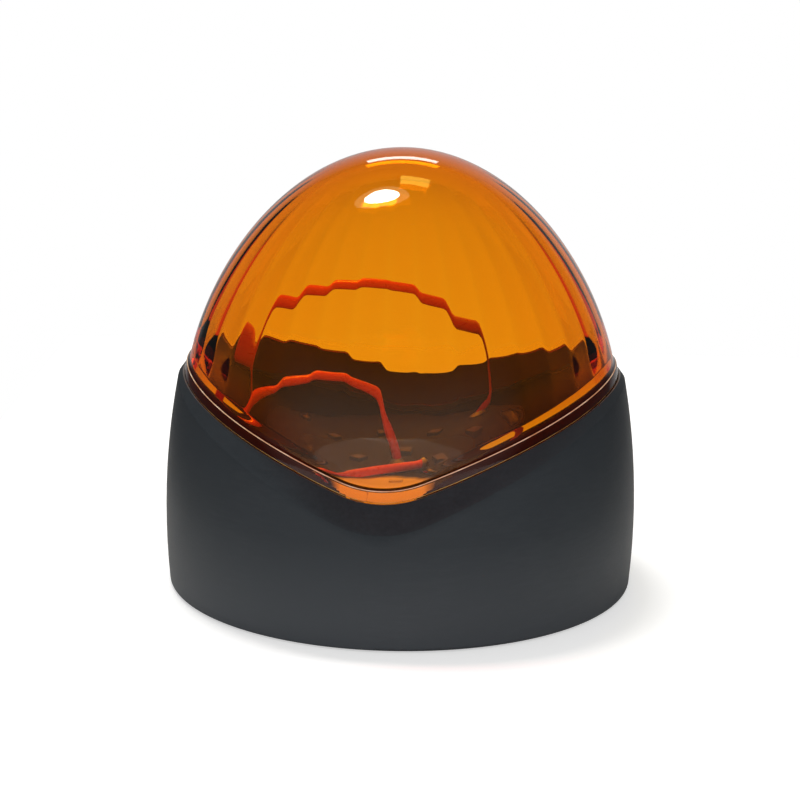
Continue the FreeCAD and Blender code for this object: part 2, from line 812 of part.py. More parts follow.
def build_terminal_block():
    body = new_body("terminal_block")
    side = outline(new_sketch(body, "YZ_Plane"), [
        ("-terminal_deep / 2", "0"),
        ("terminal_deep / 2", "0"),
        ("terminal_deep / 2", "terminal_tall - terminal_slope"),
        ("terminal_deep / 2 - terminal_slope", "terminal_tall"),
        ("-terminal_deep / 2", "terminal_tall"),
    ])
    pad(body, side, "2 * pole_pitch + 2 * terminal_end_wall", both_ways=True)
    for x in POLES.values():
        cell = rectangle(new_sketch(body, "XY_Plane"), x, "0", "cell_width", "cell_deep")
        pocket(body, cell, "cell_tall", along_normal=True)
        well = circles(new_sketch(body, "XY_Plane", "terminal_tall"), [(x, "0", "well_radius")])
        pocket(body, well, "well_deep")
        throat = circles(new_sketch(body, "XY_Plane", "terminal_tall - well_deep"),
                         [(x, "0", "clamp_shank_radius + clamp_hole_gap")])
        pocket(body, throat, "terminal_tall - well_deep - cell_tall")
        funnel = rectangle(new_sketch(body, "XZ_Plane", "-terminal_deep / 2"), x,
                           "cage_gap + cage_metal + funnel_tall / 2", "funnel_width", "funnel_tall")
        pocket(body, funnel, "(terminal_deep - cell_deep) / 2", along_normal=True)
    seat(body, y="terminal_back", z=DRIVER_TOP)
    keep(body, "terminal_block")


def build_clamp(side, x):
    """Screw and wire cage of one pole; the cage rests at the foot of its cell, wide open."""
    cage = new_body(f"terminal_cage_{side}")
    width = "cell_width - 2 * cage_gap"
    plan = rectangle(new_sketch(cage, "XY_Plane"), "0", "0", width, "cell_deep - 2 * cage_gap")
    pad(cage, plan, "cage_tall")
    window = rectangle(new_sketch(cage, "XZ_Plane"), "0", "cage_tall / 2", f"{width} - 2 * cage_metal",
                       "cage_tall - 2 * cage_metal")
    pocket(cage, window, "cell_deep", both_ways=True)
    hole = circles(new_sketch(cage, "XY_Plane", "cage_tall"),
                   [("0", "0", "clamp_shank_radius + clamp_hole_gap")])
    pocket(cage, hole, "cage_metal")
    seat(cage, x, "terminal_back", DRIVER_TOP + " + cage_gap")
    keep(cage, f"terminal_cage_{side}")
    screw = turned(f"terminal_screw_{side}", [
        ("0", "-clamp_shank_length"),
        ("clamp_shank_radius", "-clamp_shank_length"),
        ("clamp_shank_radius", "0"),
        ("clamp_head_radius", "0"),
        ("clamp_head_radius", "clamp_head_tall"),
        ("0", "clamp_head_tall"),
    ])
    slot = rectangle(new_sketch(screw, "XY_Plane", "clamp_head_tall"), "0", "0", "3 * clamp_head_radius",
                     "clamp_head_radius / 3")
    pocket(screw, slot, "clamp_head_tall / 2")
    seat(screw, x, "terminal_back", DRIVER_TOP + " + terminal_tall - well_deep")
    keep(screw, f"terminal_screw_{side}")


def build_fuse():
    """Glass fuse lying along X between two spring clips."""
    lying = Rotation(Vector(0, 1, 0), 90)
    middle = Vector(number("fuse_right"), -number("fuse_front"), number(DRIVER_TOP + " + fuse_rise"))
    glass_radius = "fuse_radius - fuse_cap_wall - lead_gap"
    glass = turned("fuse_glass", [
        (f"{glass_radius} - fuse_glass_wall", "fuse_cap_wall - fuse_length / 2"),
        (glass_radius, "fuse_cap_wall - fuse_length / 2"),
        (glass_radius, "fuse_length / 2 - fuse_cap_wall"),
        (f"{glass_radius} - fuse_glass_wall", "fuse_length / 2 - fuse_cap_wall"),
    ])
    keep(copies("fuse_tube", glass, [Placement(middle, lying)]), "fuse_tube")
    cap = turned("fuse_cap", [
        ("0", "0"),
        ("fuse_radius", "0"),
        ("fuse_radius", "fuse_cap_length"),
        ("fuse_radius - fuse_cap_wall", "fuse_cap_length"),
        ("fuse_radius - fuse_cap_wall", "fuse_cap_wall"),
        ("0", "fuse_cap_wall"),
    ])
    half = number("fuse_length / 2")
    ends = [Placement(middle + Vector(-half, 0, 0), lying),
            Placement(middle + Vector(half, 0, 0), Rotation(Vector(0, 1, 0), -90))]
    keep(copies("fuse_caps", cap, ends), "fuse_caps")
    clip = new_body("fuse_clip")
    inside = "(fuse_radius + clip_gap)"
    outside = "(fuse_radius + clip_gap + clip_metal)"
    section = outline(new_sketch(clip, "YZ_Plane"), [
        (f"-{outside}", "0"),
        (outside, "0"),
        (outside, "clip_tall"),
        (inside, "clip_tall"),
        (inside, "clip_metal"),
        (f"-{inside}", "clip_metal"),
        (f"-{inside}", "clip_tall"),
        (f"-{outside}", "clip_tall"),
    ])
    pad(clip, section, "clip_width", both_ways=True)
    reach = number("fuse_length / 2 - fuse_cap_length / 2")
    floor = Vector(middle.x, middle.y, number(DRIVER_TOP))
    clips = [Placement(floor + Vector(side * reach, 0, 0), Rotation()) for side in (-1, 1)]
    keep(copies("fuse_clips", clip, clips), "fuse_clips")


def build_capacitor():
    body = turned("storage_capacitor", [
        ("0", "0"),
        ("can_radius * 0.94", "0"),
        ("can_radius", "can_radius * 0.1"),
        ("can_radius", "can_tall * 0.12"),
        ("can_radius * 0.9", "can_tall * 0.17"),
        ("can_radius", "can_tall * 0.22"),
        ("can_radius", "can_tall - can_radius * 0.12"),
        ("can_radius * 0.88", "can_tall"),
        ("can_radius * 0.8", "can_tall - can_radius * 0.06"),
        ("0", "can_tall - can_radius * 0.06"),
    ])
    seat(body, "can_right", "can_back", DRIVER_TOP)
    keep(body, "storage_capacitor")


def build_bridge():
    body = new_body("bridge_rectifier")
    half = "bridge_side / 2"
    plan = outline(new_sketch(body, "XY_Plane"), [
        (f"-{half}", f"-{half}"),
        (half, f"-{half}"),
        (half, f"{half} - bridge_side / 5"),
        (f"{half} - bridge_side / 5", half),
        (f"-{half}", half),
    ])
    pad(body, plan, "bridge_tall")
    seat(body, "bridge_right", "-bridge_front", DRIVER_TOP)
    keep(body, "bridge_rectifier")


def build_chip():
    body = new_body("timer_chip")
    plan = rectangle(new_sketch(body, "XY_Plane", "chip_rise"), "0", "0", "chip_length", "chip_width")
    pad(body, plan, "chip_tall")
    notch = circles(new_sketch(body, "XY_Plane", "chip_rise + chip_tall"),
                    [("-chip_length / 2", "0", "chip_width / 8")])
    pocket(body, notch, "chip_tall / 4")
    seat(body, "-chip_left", "-chip_front", DRIVER_TOP)
    keep(body, "timer_chip")
    leg = new_body("timer_leg")
    side = "chip_width / 2"
    knee = "chip_rise + chip_tall / 2"
    bent = outline(new_sketch(leg, "YZ_Plane"), [
        (side, knee),
        (f"{side} + leg_metal", knee),
        (f"{side} + leg_metal", "0"),
        (f"{side} + 2 * leg_metal", "0"),
        (f"{side} + 2 * leg_metal", f"{knee} + leg_metal"),
        (side, f"{knee} + leg_metal"),
    ])
    pad(leg, bent, "leg_width", both_ways=True)
    places = []
    for turn in (0, FULL_TURN / 2):
        for index in range(4):
            along = (index - 1.5) * number("leg_pitch")
            middle = Vector(along - number("chip_left"), -number("chip_front"), number(DRIVER_TOP))
            places.append(Placement(middle, Rotation(Vector(0, 0, 1), turn)))
    keep(copies("timer_legs", leg, places), "timer_legs")


def build_transistor():
    body = new_body("switch_transistor")
    tab = rectangle(new_sketch(body, "XY_Plane"), "0", "0", "tab_width", "tab_length")
    pad(body, tab, "tab_metal")
    block = rectangle(new_sketch(body, "XY_Plane"), "0", "(tab_body_length - tab_length) / 2", "tab_width",
                      "tab_body_length")
    pad(body, block, "tab_body_tall")
    hole = circles(new_sketch(body, "XY_Plane", "tab_metal"),
                   [("0", "tab_length / 2 - (tab_length - tab_body_length) / 2", "tab_hole_radius")])
    pocket(body, hole, "tab_metal")
    seat(body, "tab_right", "-tab_front", DRIVER_TOP)
    keep(body, "switch_transistor")


def build_choke():
    core = turned("choke_core", [
        ("0", "0"),
        ("choke_radius", "0"),
        ("choke_radius", "choke_flange"),
        ("choke_core_radius", "choke_flange"),
        ("choke_core_radius", "choke_tall - choke_flange"),
        ("choke_radius", "choke_tall - choke_flange"),
        ("choke_radius", "choke_tall"),
        ("0", "choke_tall"),
    ])
    seat(core, "-choke_left", "choke_back", DRIVER_TOP)
    keep(core, "choke_core")
    winding = turned("choke_winding", [
        ("choke_core_radius + lead_gap", "choke_flange + lead_gap"),
        ("choke_radius - choke_flange / 2", "choke_flange + lead_gap"),
        ("choke_radius - choke_flange / 2", "choke_tall - choke_flange - lead_gap"),
        ("choke_core_radius + lead_gap", "choke_tall - choke_flange - lead_gap"),
    ])
    seat(winding, "-choke_left", "choke_back", DRIVER_TOP)
    keep(winding, "choke_winding")


def build_resistors():
    """Three film resistors lying side by side on the driver board."""
    end = "resistor_length / 2"
    waist = "(resistor_length / 2 - resistor_bead)"
    body = turned("film_resistor", [
        ("0", f"-{end}"),
        ("resistor_bead", f"-{end}"),
        ("resistor_bead", f"-{waist}"),
        ("resistor_radius", f"-{waist} + resistor_bead / 3"),
        ("resistor_radius", f"{waist} - resistor_bead / 3"),
        ("resistor_bead", waist),
        ("resistor_bead", end),
        ("0", end),
    ])
    lying = Rotation(Vector(1, 0, 0), 90)
    places = []
    for index in range(3):
        x = -number("resistor_right") - index * number("resistor_pitch")
        middle = Vector(x, -number("resistor_front"), number(DRIVER_TOP + " + resistor_bead"))
        places.append(Placement(middle, lying))
    keep(copies("ballast_resistors", body, places), "ballast_resistors")


def check_and_write():
    """Stop on any failed object or bad solid, then write one file for each sub-part."""
    doc.recompute()
    for item in doc.Objects:
        if "Invalid" in item.State or "Error" in item.State:
            raise RuntimeError(f"{item.Label} failed: {item.State}")
    for piece in nodes:
        if piece.Shape.isNull() or not piece.Shape.isValid() or not piece.Shape.Solids:
            raise RuntimeError(f"{piece.Label} has no valid solid")
    os.makedirs("parts", exist_ok=True)
    for piece in nodes:
        piece.Shape.exportStep(f"parts/{piece.Label}.step")


build_base()
build_lens()
build_seal()
build_grommet()
build_board_screws()
build_led_board()
build_leds()
build_leads()
build_lead_socket()
build_driver_board()
build_terminal_block()
for pole, pole_x in POLES.items():
    build_clamp(pole, pole_x)
build_fuse()
build_capacitor()
build_bridge()
build_chip()
build_transistor()
build_choke()
build_resistors()
check_and_write()
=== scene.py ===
import math

import bpy
import numpy as np
from bpy.props import FloatProperty, FloatVectorProperty, IntProperty, PointerProperty
from mathutils import Matrix, Quaternion, Vector


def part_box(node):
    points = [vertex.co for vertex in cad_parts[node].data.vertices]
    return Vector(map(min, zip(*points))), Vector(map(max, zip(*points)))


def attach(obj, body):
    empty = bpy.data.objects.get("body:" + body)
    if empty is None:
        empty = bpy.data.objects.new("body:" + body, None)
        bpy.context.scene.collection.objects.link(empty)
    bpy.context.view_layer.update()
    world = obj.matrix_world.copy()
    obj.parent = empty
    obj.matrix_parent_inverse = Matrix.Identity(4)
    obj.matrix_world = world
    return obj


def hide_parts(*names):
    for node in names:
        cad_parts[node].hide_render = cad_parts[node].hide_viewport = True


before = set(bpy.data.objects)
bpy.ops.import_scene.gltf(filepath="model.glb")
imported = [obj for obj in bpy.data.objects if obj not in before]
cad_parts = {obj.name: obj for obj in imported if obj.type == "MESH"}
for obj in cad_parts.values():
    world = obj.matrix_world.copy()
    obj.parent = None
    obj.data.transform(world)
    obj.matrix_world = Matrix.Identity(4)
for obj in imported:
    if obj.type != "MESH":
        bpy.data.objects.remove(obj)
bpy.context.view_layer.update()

bl_info = {
    "name": "Flashing warning light",
    "version": (1, 0, 0),
    "blender": (4, 5, 0),
    "location": "View3D > Sidebar > Warning light",
    "description": "Dresses the packed model of an amber warning light and sets its studio",
    "category": "Object",
}

MM = 0.001
WHITE = (1, 1, 1)

# Fineness of the dome's mesh: columns across a flute, rows in each stretch of its two faces,
# and passes that settle a ring's radius and height against each other
COLUMNS_PER_FLUTE = 12
FLANGE_FOOT_ROWS = 6
FLANGE_TOP_ROWS = 11
OUTSIDE_ROWS = 71
CROWN_ROWS = 19
FLUTE_ROWS = 62
FOOT_ROWS = 42
SETTLING_PASSES = 5

# Joining of the dome's two faces into one shell
MERGE_DISTANCE = 1e-6
CREASE_ANGLE = math.radians(22)

# Painted pool of light on the LED board, where the dome gathers the lamp's light: its middle, its radius and
# half the width of its soft edge
LIGHT_POOL_SPOT = ((-0.003, -0.021), 0.013, 0.002)

LEAD_RADIUS = 0.0012
# Leads: their length and the points of their routes, in millimetres
LEADS = {
    "lead_long": (190.1, [(-27.15, 9, 15.2), (-38, 9, 15.2), (-45.5, 12, 24), (-45.5, 12, 48), (-42.5, 4, 62),
                          (-30, -5, 77.5), (-2, -4, 82.6), (16, 7, 69), (21.5, 25, 57), (21.5, 39, 46),
                          (21, 40, 31.6)]),
    "lead_short": (107.5, [(-27.15, -12, 15.2), (-37, -12, 15.2), (-44, -15.5, 24), (-44, -15.5, 41),
                           (-38.5, -10, 50), (-24, -2, 56), (-9, 2, 52.5), (-4.2, 3.5, 43), (-1.3, 4, 31.6)]),
    "lead_bridge": (33.3, [(-21.5, -17.5, 31.5), (-14, -13.8, 31.5), (-3.6, -6.2, 31.5), (7, -0.4, 31.5)]),
}

# Lamps: place, shape, size, the setting that holds their power, and tint
LAMPS = {
    "round_lamp": ((-0.235, 0.267, 1.25), "ELLIPSE", (0.35, 0.2), "lamp", WHITE),
    "halo_lamp": ((-0.238, 0.270, 1.27), "ELLIPSE", (0.56, 0.33), "halo", (1, 0.8, 0.35)),
    "back_lamp": ((-0.08, 0.85, 0.64), "RECTANGLE", (0.36, 0.09), "back_lamp", WHITE),
    "warm_panel": ((0.054, 0.542, 1.17), "RECTANGLE", (0.26, 0.18), "panel", (1, 0.75, 0.1)),
    "low_fill": ((0, -0.6, 0.06), "RECTANGLE", (0.3, 0.1), "fill", WHITE),
}
LAMP_WITHOUT_REFLECTION = "low_fill"
LAMPS_AIM_AT = (0, 0, 0.1)


# Settings

def length(name, description, default):
    return FloatProperty(name=name, description=description, default=default, unit="LENGTH", precision=5)


def angle(name, description, degrees):
    return FloatProperty(name=name, description=description, default=math.radians(degrees), subtype="ANGLE")


def watts(name, description, default):
    return FloatProperty(name=name, description=description, default=default, subtype="POWER")


def colour(name, description, default):
    return FloatVectorProperty(name=name, description=description, default=default, size=3, min=0, max=1,
                               subtype="COLOR")


class DomeSizes(bpy.types.PropertyGroup):
    """Sizes of the amber dome and of the rim that it follows"""

    rim_dip: length("Rim dip", "Height of the rim at the front and back", 0.0373)
    rim_slope: angle("Rim slope", "Rise of the rim towards the sides", 21)
    rim_round: length("Rim round", "Radius at the bottom of the V", 0.030)
    shoulder_radius: length("Shoulder radius", "Outside of the dome at its shoulder", 0.0571)
    shoulder_height: length("Shoulder height", "Height where the dome starts to close", 0.052)
    top: length("Top", "Height of the dome", 0.116)
    power: FloatProperty(name="Dome power", description="How full the dome is near its top", default=1.6)
    draft: angle("Draft", "Taper of the skirt", 1)
    wall: length("Wall", "Thickness of the dome", 0.003)
    skirt: length("Skirt", "Depth of the skirt below the rim", 0.005)
    flange_gap: length("Flange gap", "Gap between rim and flange", 0.0003)
    flange_height: length("Flange height", "Height of the band above the rim", 0.0036)
    flange_proud: length("Flange proud", "How far the band stands out", 0.0007)
    flange_foot_round: length("Flange foot round", "Round of the band's lower edge", 0.00035)
    flange_top_round: length("Flange top round", "Height over which the band's upper edge falls away", 0.0012)
    bead: length("Bead", "How far the thick foot of the dome stands inwards", 0.001)
    bead_height: length("Bead height", "Thickest place of that foot above the rim", 0.0064)
    bead_under: length("Bead under", "Height over which it falls back below that place", 0.002)
    bead_over: length("Bead over", "Height over which it runs out above that place", 0.012)
    # Painted shade band inside the foot: its height, and where it clears over the front dip.
    band_height: length("Band height", "Height of the darkened band inside the foot", 0.0043)
    band_start: length("Band start", "Half of the clear width at the front dip", 0.009)
    band_full: length("Band full", "Distance from the middle where the band has its full height", 0.026)
    flutes: IntProperty(name="Flutes", description="Number of flutes inside", default=36, min=3)
    flute_depth: length("Flute depth", "How far a flute bulges inwards", 0.0002)
    flute_valley: FloatProperty(name="Flute valley", description="Share of a flute that its valleys take",
                                default=0.15, min=0.05, max=0.9, subtype="FACTOR")
    crown_radius: length("Crown radius", "Plain round patch inside the top", 0.0155)
    flute_fade: length("Flute fade", "Height over which the flutes run out towards the crown", 0.012)
    flute_foot: length("Flute foot", "Height at which the flutes start", 0.051)
    flute_full: length("Flute full", "Height from which the flutes have their full depth", 0.073)


class Finishes(bpy.types.PropertyGroup):
    """Colours of the main finishes"""

    charcoal: colour("Charcoal", "Wall of the base", (0.033, 0.039, 0.046))
    # The bevel's darker colour is painted shade round the dip; its coarse grain is the moulding's own.
    bevel: colour("Bevel", "Grained bevel of the base", (0.022, 0.028, 0.034))
    inside: colour("Inside", "Matt inside of the base", (0.010, 0.010, 0.010))
    # Rim colour: a painted highlight along the land round the dome.
    rim: colour("Rim", "Rubbed edge round the dome", (0.11, 0.115, 0.12))
    amber: colour("Amber", "Light that the dome lets through", (0.985, 0.80, 0.02))
    amber_density: FloatProperty(name="Amber density", description="Strength of the dome's tint, per metre",
                                 default=1000.0, min=0)
    lead: colour("Lead", "Insulation of the leads", (0.90, 0.07, 0.035))
    board: colour("Board", "Solder mask of the LED board", (0.012, 0.011, 0.010))
    # Pale colour of the painted pool of light near the front of the LED board.
    print: colour("Light pool", "Pale print near the front of the LED board", (0.95, 0.80, 0.32))


class StageSettings(bpy.types.PropertyGroup):
    """Camera, sky and lamps"""

    azimuth: angle("Azimuth", "Turn of the camera", 5)
    elevation: angle("Elevation", "Height of the camera above the horizon", 15.2)
    distance: length("Distance", "From the camera to the point that it looks at", 0.795)
    target: FloatVectorProperty(name="Target", description="Point that the camera looks at", size=3,
                                default=(-0.00035, 0, 0.0486), subtype="TRANSLATION", unit="LENGTH")
    roll: angle("Roll", "Tilt of the picture", 0.6)
    focal: FloatProperty(name="Focal length", description="Lens of the camera in millimetres", default=134.7)
    sky: FloatProperty(name="Sky", description="Strength of the light from all round", default=0.5)
    lamp: watts("Lamp", "Power of the round overhead lamp", 7.0)
    halo: watts("Halo", "Power of the dim ring round that lamp", 0.9)
    back_lamp: watts("Back lamp", "Power of the long lamp behind", 0.5)
    fill: watts("Low fill", "Power of the low lamp in front of the base", 0.5)
    panel: watts("Panel", "Power of the small warm panel", 0.65)


# Shaping

def deselect_all():
    """Go back to object mode with nothing selected."""
    if bpy.context.object and bpy.context.object.mode != "OBJECT":
        bpy.ops.object.mode_set(mode="OBJECT")
    bpy.ops.object.select_all(action="DESELECT")


def eased(step):
    """Smooth rise from nought to one."""
    return step * step * (3 - 2 * step)


def rim_height(x, sizes):
    """Height of the rim at a distance x from the middle: straight slopes with a round dip between."""
    across = np.abs(x)
    reach = sizes.rim_round * math.sin(sizes.rim_slope)
    inside = np.sqrt(np.maximum(sizes.rim_round ** 2 - np.minimum(across, reach) ** 2, 0))
    dip = sizes.rim_dip + sizes.rim_round - inside
    return dip + np.maximum(across - reach, 0) * math.tan(sizes.rim_slope)


def dome_radius(z, sizes, inset=0.0):
    """Radius of the dome at a height: a tapered skirt below the shoulder, a full curve above it."""
    full = sizes.shoulder_radius - inset
    rise = np.clip((z - sizes.shoulder_height) / (sizes.top - inset - sizes.shoulder_height), 0, 1)
    skirt = np.maximum(sizes.shoulder_height - z, 0) * math.tan(sizes.draft)
    return full * np.sqrt(1 - rise ** sizes.power) + skirt


def along_rim(turn, lift, sizes, inset=0.0, proud=0.0):
    """Ring of points at a height above the rim: its radius and height for each angle."""
    radius = np.full_like(turn, sizes.shoulder_radius - inset + proud)
    for _ in range(SETTLING_PASSES):
        height = rim_height(radius * np.cos(turn), sizes) + lift
        radius = dome_radius(height, sizes, inset) + proud
    return radius, height


def dome_outside(turn, sizes):
    """Rows from the foot of the skirt over the flange to the top."""
    gap, tall, proud = sizes.flange_gap, sizes.flange_height, sizes.flange_proud
    under, over = sizes.flange_foot_round, sizes.flange_top_round
    corner = 0.05 * MM
    share_below_top = 0.75
    rows = [
        along_rim(turn, -sizes.skirt, sizes),
        along_rim(turn, -sizes.skirt / 2, sizes),
        along_rim(turn, gap - corner, sizes),
        along_rim(turn, gap, sizes, proud=corner),
    ]
    for bend in np.linspace(0, math.pi / 2, FLANGE_FOOT_ROWS):
        rows.append(along_rim(turn, gap + under * (1 - math.cos(bend)), sizes,
                              proud=proud - under * (1 - math.sin(bend))))
    rows.append(along_rim(turn, gap + tall / 2, sizes, proud=proud))
    for step in np.linspace(0, 1, FLANGE_TOP_ROWS):
        rows.append(along_rim(turn, gap + tall + over * (step - share_below_top), sizes,
                              proud=proud * (1 - eased(step))))
    start = rows[-1][1]
    for step in np.linspace(0, 1, OUTSIDE_ROWS)[1:]:
        height = sizes.top - (sizes.top - start) * (1 - step) ** 2
        rows.append((dome_radius(height, sizes), height))
    return rows


def off_the_dip(x, sizes):
    """Nought over the clear width of the front dip, one on the flanks."""
    return np.clip((np.abs(x) - sizes.band_start) / (sizes.band_full - sizes.band_start), 0, 1)


def flute_bulge(turn, sizes):
    """Shape of the flutes round the dome: one on a crest, nought in a valley."""
    pitch = 2 * math.pi / sizes.flutes
    across = np.abs((turn / pitch) % 1 - 0.5) * 2
    crest = 1 - sizes.flute_valley
    return np.where(across < crest, 1 - across ** 2 / crest, (1 - across) ** 2 / sizes.flute_valley)


def thick_foot(turn, radius, height, sizes):
    """How far the inside stands inwards near the rim, on the two front flanks only."""
    front_ends, front_blend = 0.1, 0.3
    x = radius * np.cos(turn)
    away = height - rim_height(x, sizes) - sizes.bead_height
    share = np.clip(np.where(away > 0, away / sizes.bead_over, -away / sizes.bead_under), 0, 1)
    swell = np.where(away > 0, eased(1 - share), 1 - share)
    front = np.clip((front_ends - np.sin(turn)) / front_blend, 0, 1)
    return sizes.bead * swell * front * off_the_dip(x, sizes)


def dome_inside(turn, sizes):
    """Rows from the plain crown down the flutes to the foot of the skirt."""
    row_crowding = 1.2
    margin = 1.0 * MM
    full = sizes.shoulder_radius - sizes.wall
    roof = sizes.top - sizes.wall
    rise = (1 - (sizes.crown_radius / full) ** 2) ** (1 / sizes.power)
    crown_foot = sizes.shoulder_height + (roof - sizes.shoulder_height) * rise
    rows = []
    for step in np.linspace(0, 1, CROWN_ROWS):
        height = np.full_like(turn, roof - (roof - crown_foot) * step ** 2)
        rows.append((dome_radius(height, sizes, sizes.wall), height))
    foot = along_rim(turn, -sizes.skirt, sizes, inset=sizes.wall)[1]
    above = along_rim(turn, sizes.bead_height + margin, sizes, inset=sizes.wall)[1]
    heights = [crown_foot - (crown_foot - above) * step ** row_crowding
               for step in np.linspace(0, 1, FLUTE_ROWS)[:-1]]
    heights += [above - (above - foot) * step for step in np.linspace(0, 1, FOOT_ROWS)]
    bulge = flute_bulge(turn, sizes)
    for height in heights:
        valley = dome_radius(height, sizes, sizes.wall)
        fade = np.clip((crown_foot - height) / sizes.flute_fade, 0, 1)
        fade = fade * np.clip((height - sizes.flute_foot) / (sizes.flute_full - sizes.flute_foot), 0, 1)
        flute = sizes.flute_depth * fade * valley / full * bulge
        rows.append((valley - flute - thick_foot(turn, valley, height, sizes), height))
    rows.append(along_rim(turn, -sizes.skirt, sizes))
    return rows


def wrapped_sheet(name, turn, rows):
    """Grid rolled round the Z axis, with one row of points for each pair of radius and height."""
    deselect_all()
    bpy.ops.mesh.primitive_grid_add(x_subdivisions=len(turn) - 1, y_subdivisions=len(rows) - 1, size=2)
    sheet = bpy.context.object
    sheet.name = sheet.data.name = name
    points = np.empty(len(sheet.data.vertices) * 3)
    sheet.data.vertices.foreach_get("co", points)
    points = points.reshape(-1, 3)
    column = np.rint((points[:, 0] + 1) / 2 * (len(turn) - 1)).astype(int)
    row = np.rint((points[:, 1] + 1) / 2 * (len(rows) - 1)).astype(int)
    rings = np.array(rows)
    radius, height = rings[row, 0, column], rings[row, 1, column]
    points[:, 0] = radius * np.cos(turn[column])
    points[:, 1] = radius * np.sin(turn[column])
    points[:, 2] = height
    sheet.data.vertices.foreach_set("co", points.ravel())
    sheet.data.update()
    return sheet


def join_and_close(parts, name):
    """Join sheets along their shared edges into one closed, smooth shell."""
    deselect_all()
    for part in parts:
        part.select_set(True)
    bpy.context.view_layer.objects.active = parts[0]
    bpy.ops.object.join()
    shell = bpy.context.object
    shell.name = shell.data.name = name
    bpy.ops.object.mode_set(mode="EDIT")
    bpy.ops.mesh.select_all(action="SELECT")
    bpy.ops.mesh.remove_doubles(threshold=MERGE_DISTANCE)
    bpy.ops.mesh.normals_make_consistent(inside=False)
    bpy.ops.object.mode_set(mode="OBJECT")
    bpy.ops.object.shade_smooth_by_angle(angle=CREASE_ANGLE)
    return shell


def face_vectors(mesh, what):
    """Middle or normal of every face, one row each."""
    vectors = np.empty(len(mesh.polygons) * 3)
    mesh.polygons.foreach_get(what, vectors)
    return vectors.reshape(-1, 3)


def share_out(mesh, *areas):
    """Give the faces of each area the finish of its number, and all others the first finish."""
    finish = np.select(areas, range(1, len(areas) + 1), 0)
    mesh.polygons.foreach_set("material_index", finish.astype(np.int32))


# Nodes

def preset(node, values):
    """Set sockets of a node by name."""
    for label, value in values.items():
        node.inputs[label].default_value = value


def object_place(tree):
    """Object coordinates."""
    return tree.nodes.new("ShaderNodeTexCoord").outputs["Object"]


def object_axis(tree, axis):
    """Object coordinate along one axis."""
    split = tree.nodes.new("ShaderNodeSeparateXYZ")
    tree.links.new(object_place(tree), split.inputs[0])
    return split.outputs[axis]


def mapped(tree, values):
    """Object coordinates moved, turned or stretched."""
    node = tree.nodes.new("ShaderNodeMapping")
    preset(node, values)
    tree.links.new(object_place(tree), node.inputs["Vector"])
    return node.outputs[0]


def math_node(tree, operation, first, second=0.0, third=None):
    """Math node fed by sockets or plain numbers; returns its output."""
    node = tree.nodes.new("ShaderNodeMath")
    node.operation = operation
    for index, value in enumerate((first, second, third)):
        if value is None:
            continue
        if isinstance(value, (int, float)):
            node.inputs[index].default_value = value
        else:
            tree.links.new(value, node.inputs[index])
    return node.outputs[0]


def opposite(tree, value):
    """Value with its sign turned."""
    return math_node(tree, "MULTIPLY", value, -1.0)


def ramp(tree, value, low, high):
    """Mask that rises from 0 to 1 between two values."""
    node = tree.nodes.new("ShaderNodeMapRange")
    preset(node, {"From Min": low, "From Max": high})
    tree.links.new(value, node.inputs["Value"])
    return node.outputs[0]


def beyond(tree, value, edge, blur):
    """Mask that rises from 0 to 1 as a value passes an edge."""
    return ramp(tree, value, edge - blur, edge + blur)


def outside_spot(tree, centre, radius, blur):
    """Mask of all that lies outside a round spot, seen from above."""
    offset = mapped(tree, {"Location": (-centre[0], -centre[1], 0), "Scale": (1, 1, 0)})
    reach = tree.nodes.new("ShaderNodeVectorMath")
    reach.operation = "LENGTH"
    tree.links.new(offset, reach.inputs[0])
    return beyond(tree, reach.outputs["Value"], radius, blur)


def scaled_colour(tree, base, factor):
    """Colour multiplied by a value that changes over the surface."""
    node = tree.nodes.new("ShaderNodeVectorMath")
    node.operation = "SCALE"
    tree.links.new(base, node.inputs[0])
    tree.links.new(factor, node.inputs["Scale"])
    return node.outputs[0]


def mixed_colour(tree, mask, first, second):
    """One of two colours by a mask; each is a plain colour or a socket."""
    node = tree.nodes.new("ShaderNodeMix")
    node.data_type = "RGBA"
    tree.links.new(mask, node.inputs["Factor"])
    for label, value in (("A", first), ("B", second)):
        socket = next(item for item in node.inputs if item.name == label and item.type == "RGBA")
        if isinstance(value, tuple):
            socket.default_value = (*value, 1)
        else:
            tree.links.new(value, socket)
    return next(item for item in node.outputs if item.type == "RGBA")


def noise(tree, coords, scale, detail=2.0, roughness=0.5):
    """Noise whose scale is a plain number or a socket."""
    node = tree.nodes.new("ShaderNodeTexNoise")
    preset(node, {"Detail": detail, "Roughness": roughness})
    if isinstance(scale, (int, float)):
        node.inputs["Scale"].default_value = scale
    else:
        tree.links.new(scale, node.inputs["Scale"])
    tree.links.new(coords, node.inputs["Vector"])
    return node.outputs[0]


# Shared effects

def new_group(name, inputs, outputs):
    """Empty node group with its sockets; returns the group and its two end nodes."""
    group = bpy.data.node_groups.new(name, "ShaderNodeTree")
    for label, kind, default in inputs:
        group.interface.new_socket(label, in_out="INPUT", socket_type=kind).default_value = default
    for label, kind in outputs:
        group.interface.new_socket(label, in_out="OUTPUT", socket_type=kind)
    start = group.nodes.new("NodeGroupInput")
    end = group.nodes.new("NodeGroupOutput")
    return group, start, end


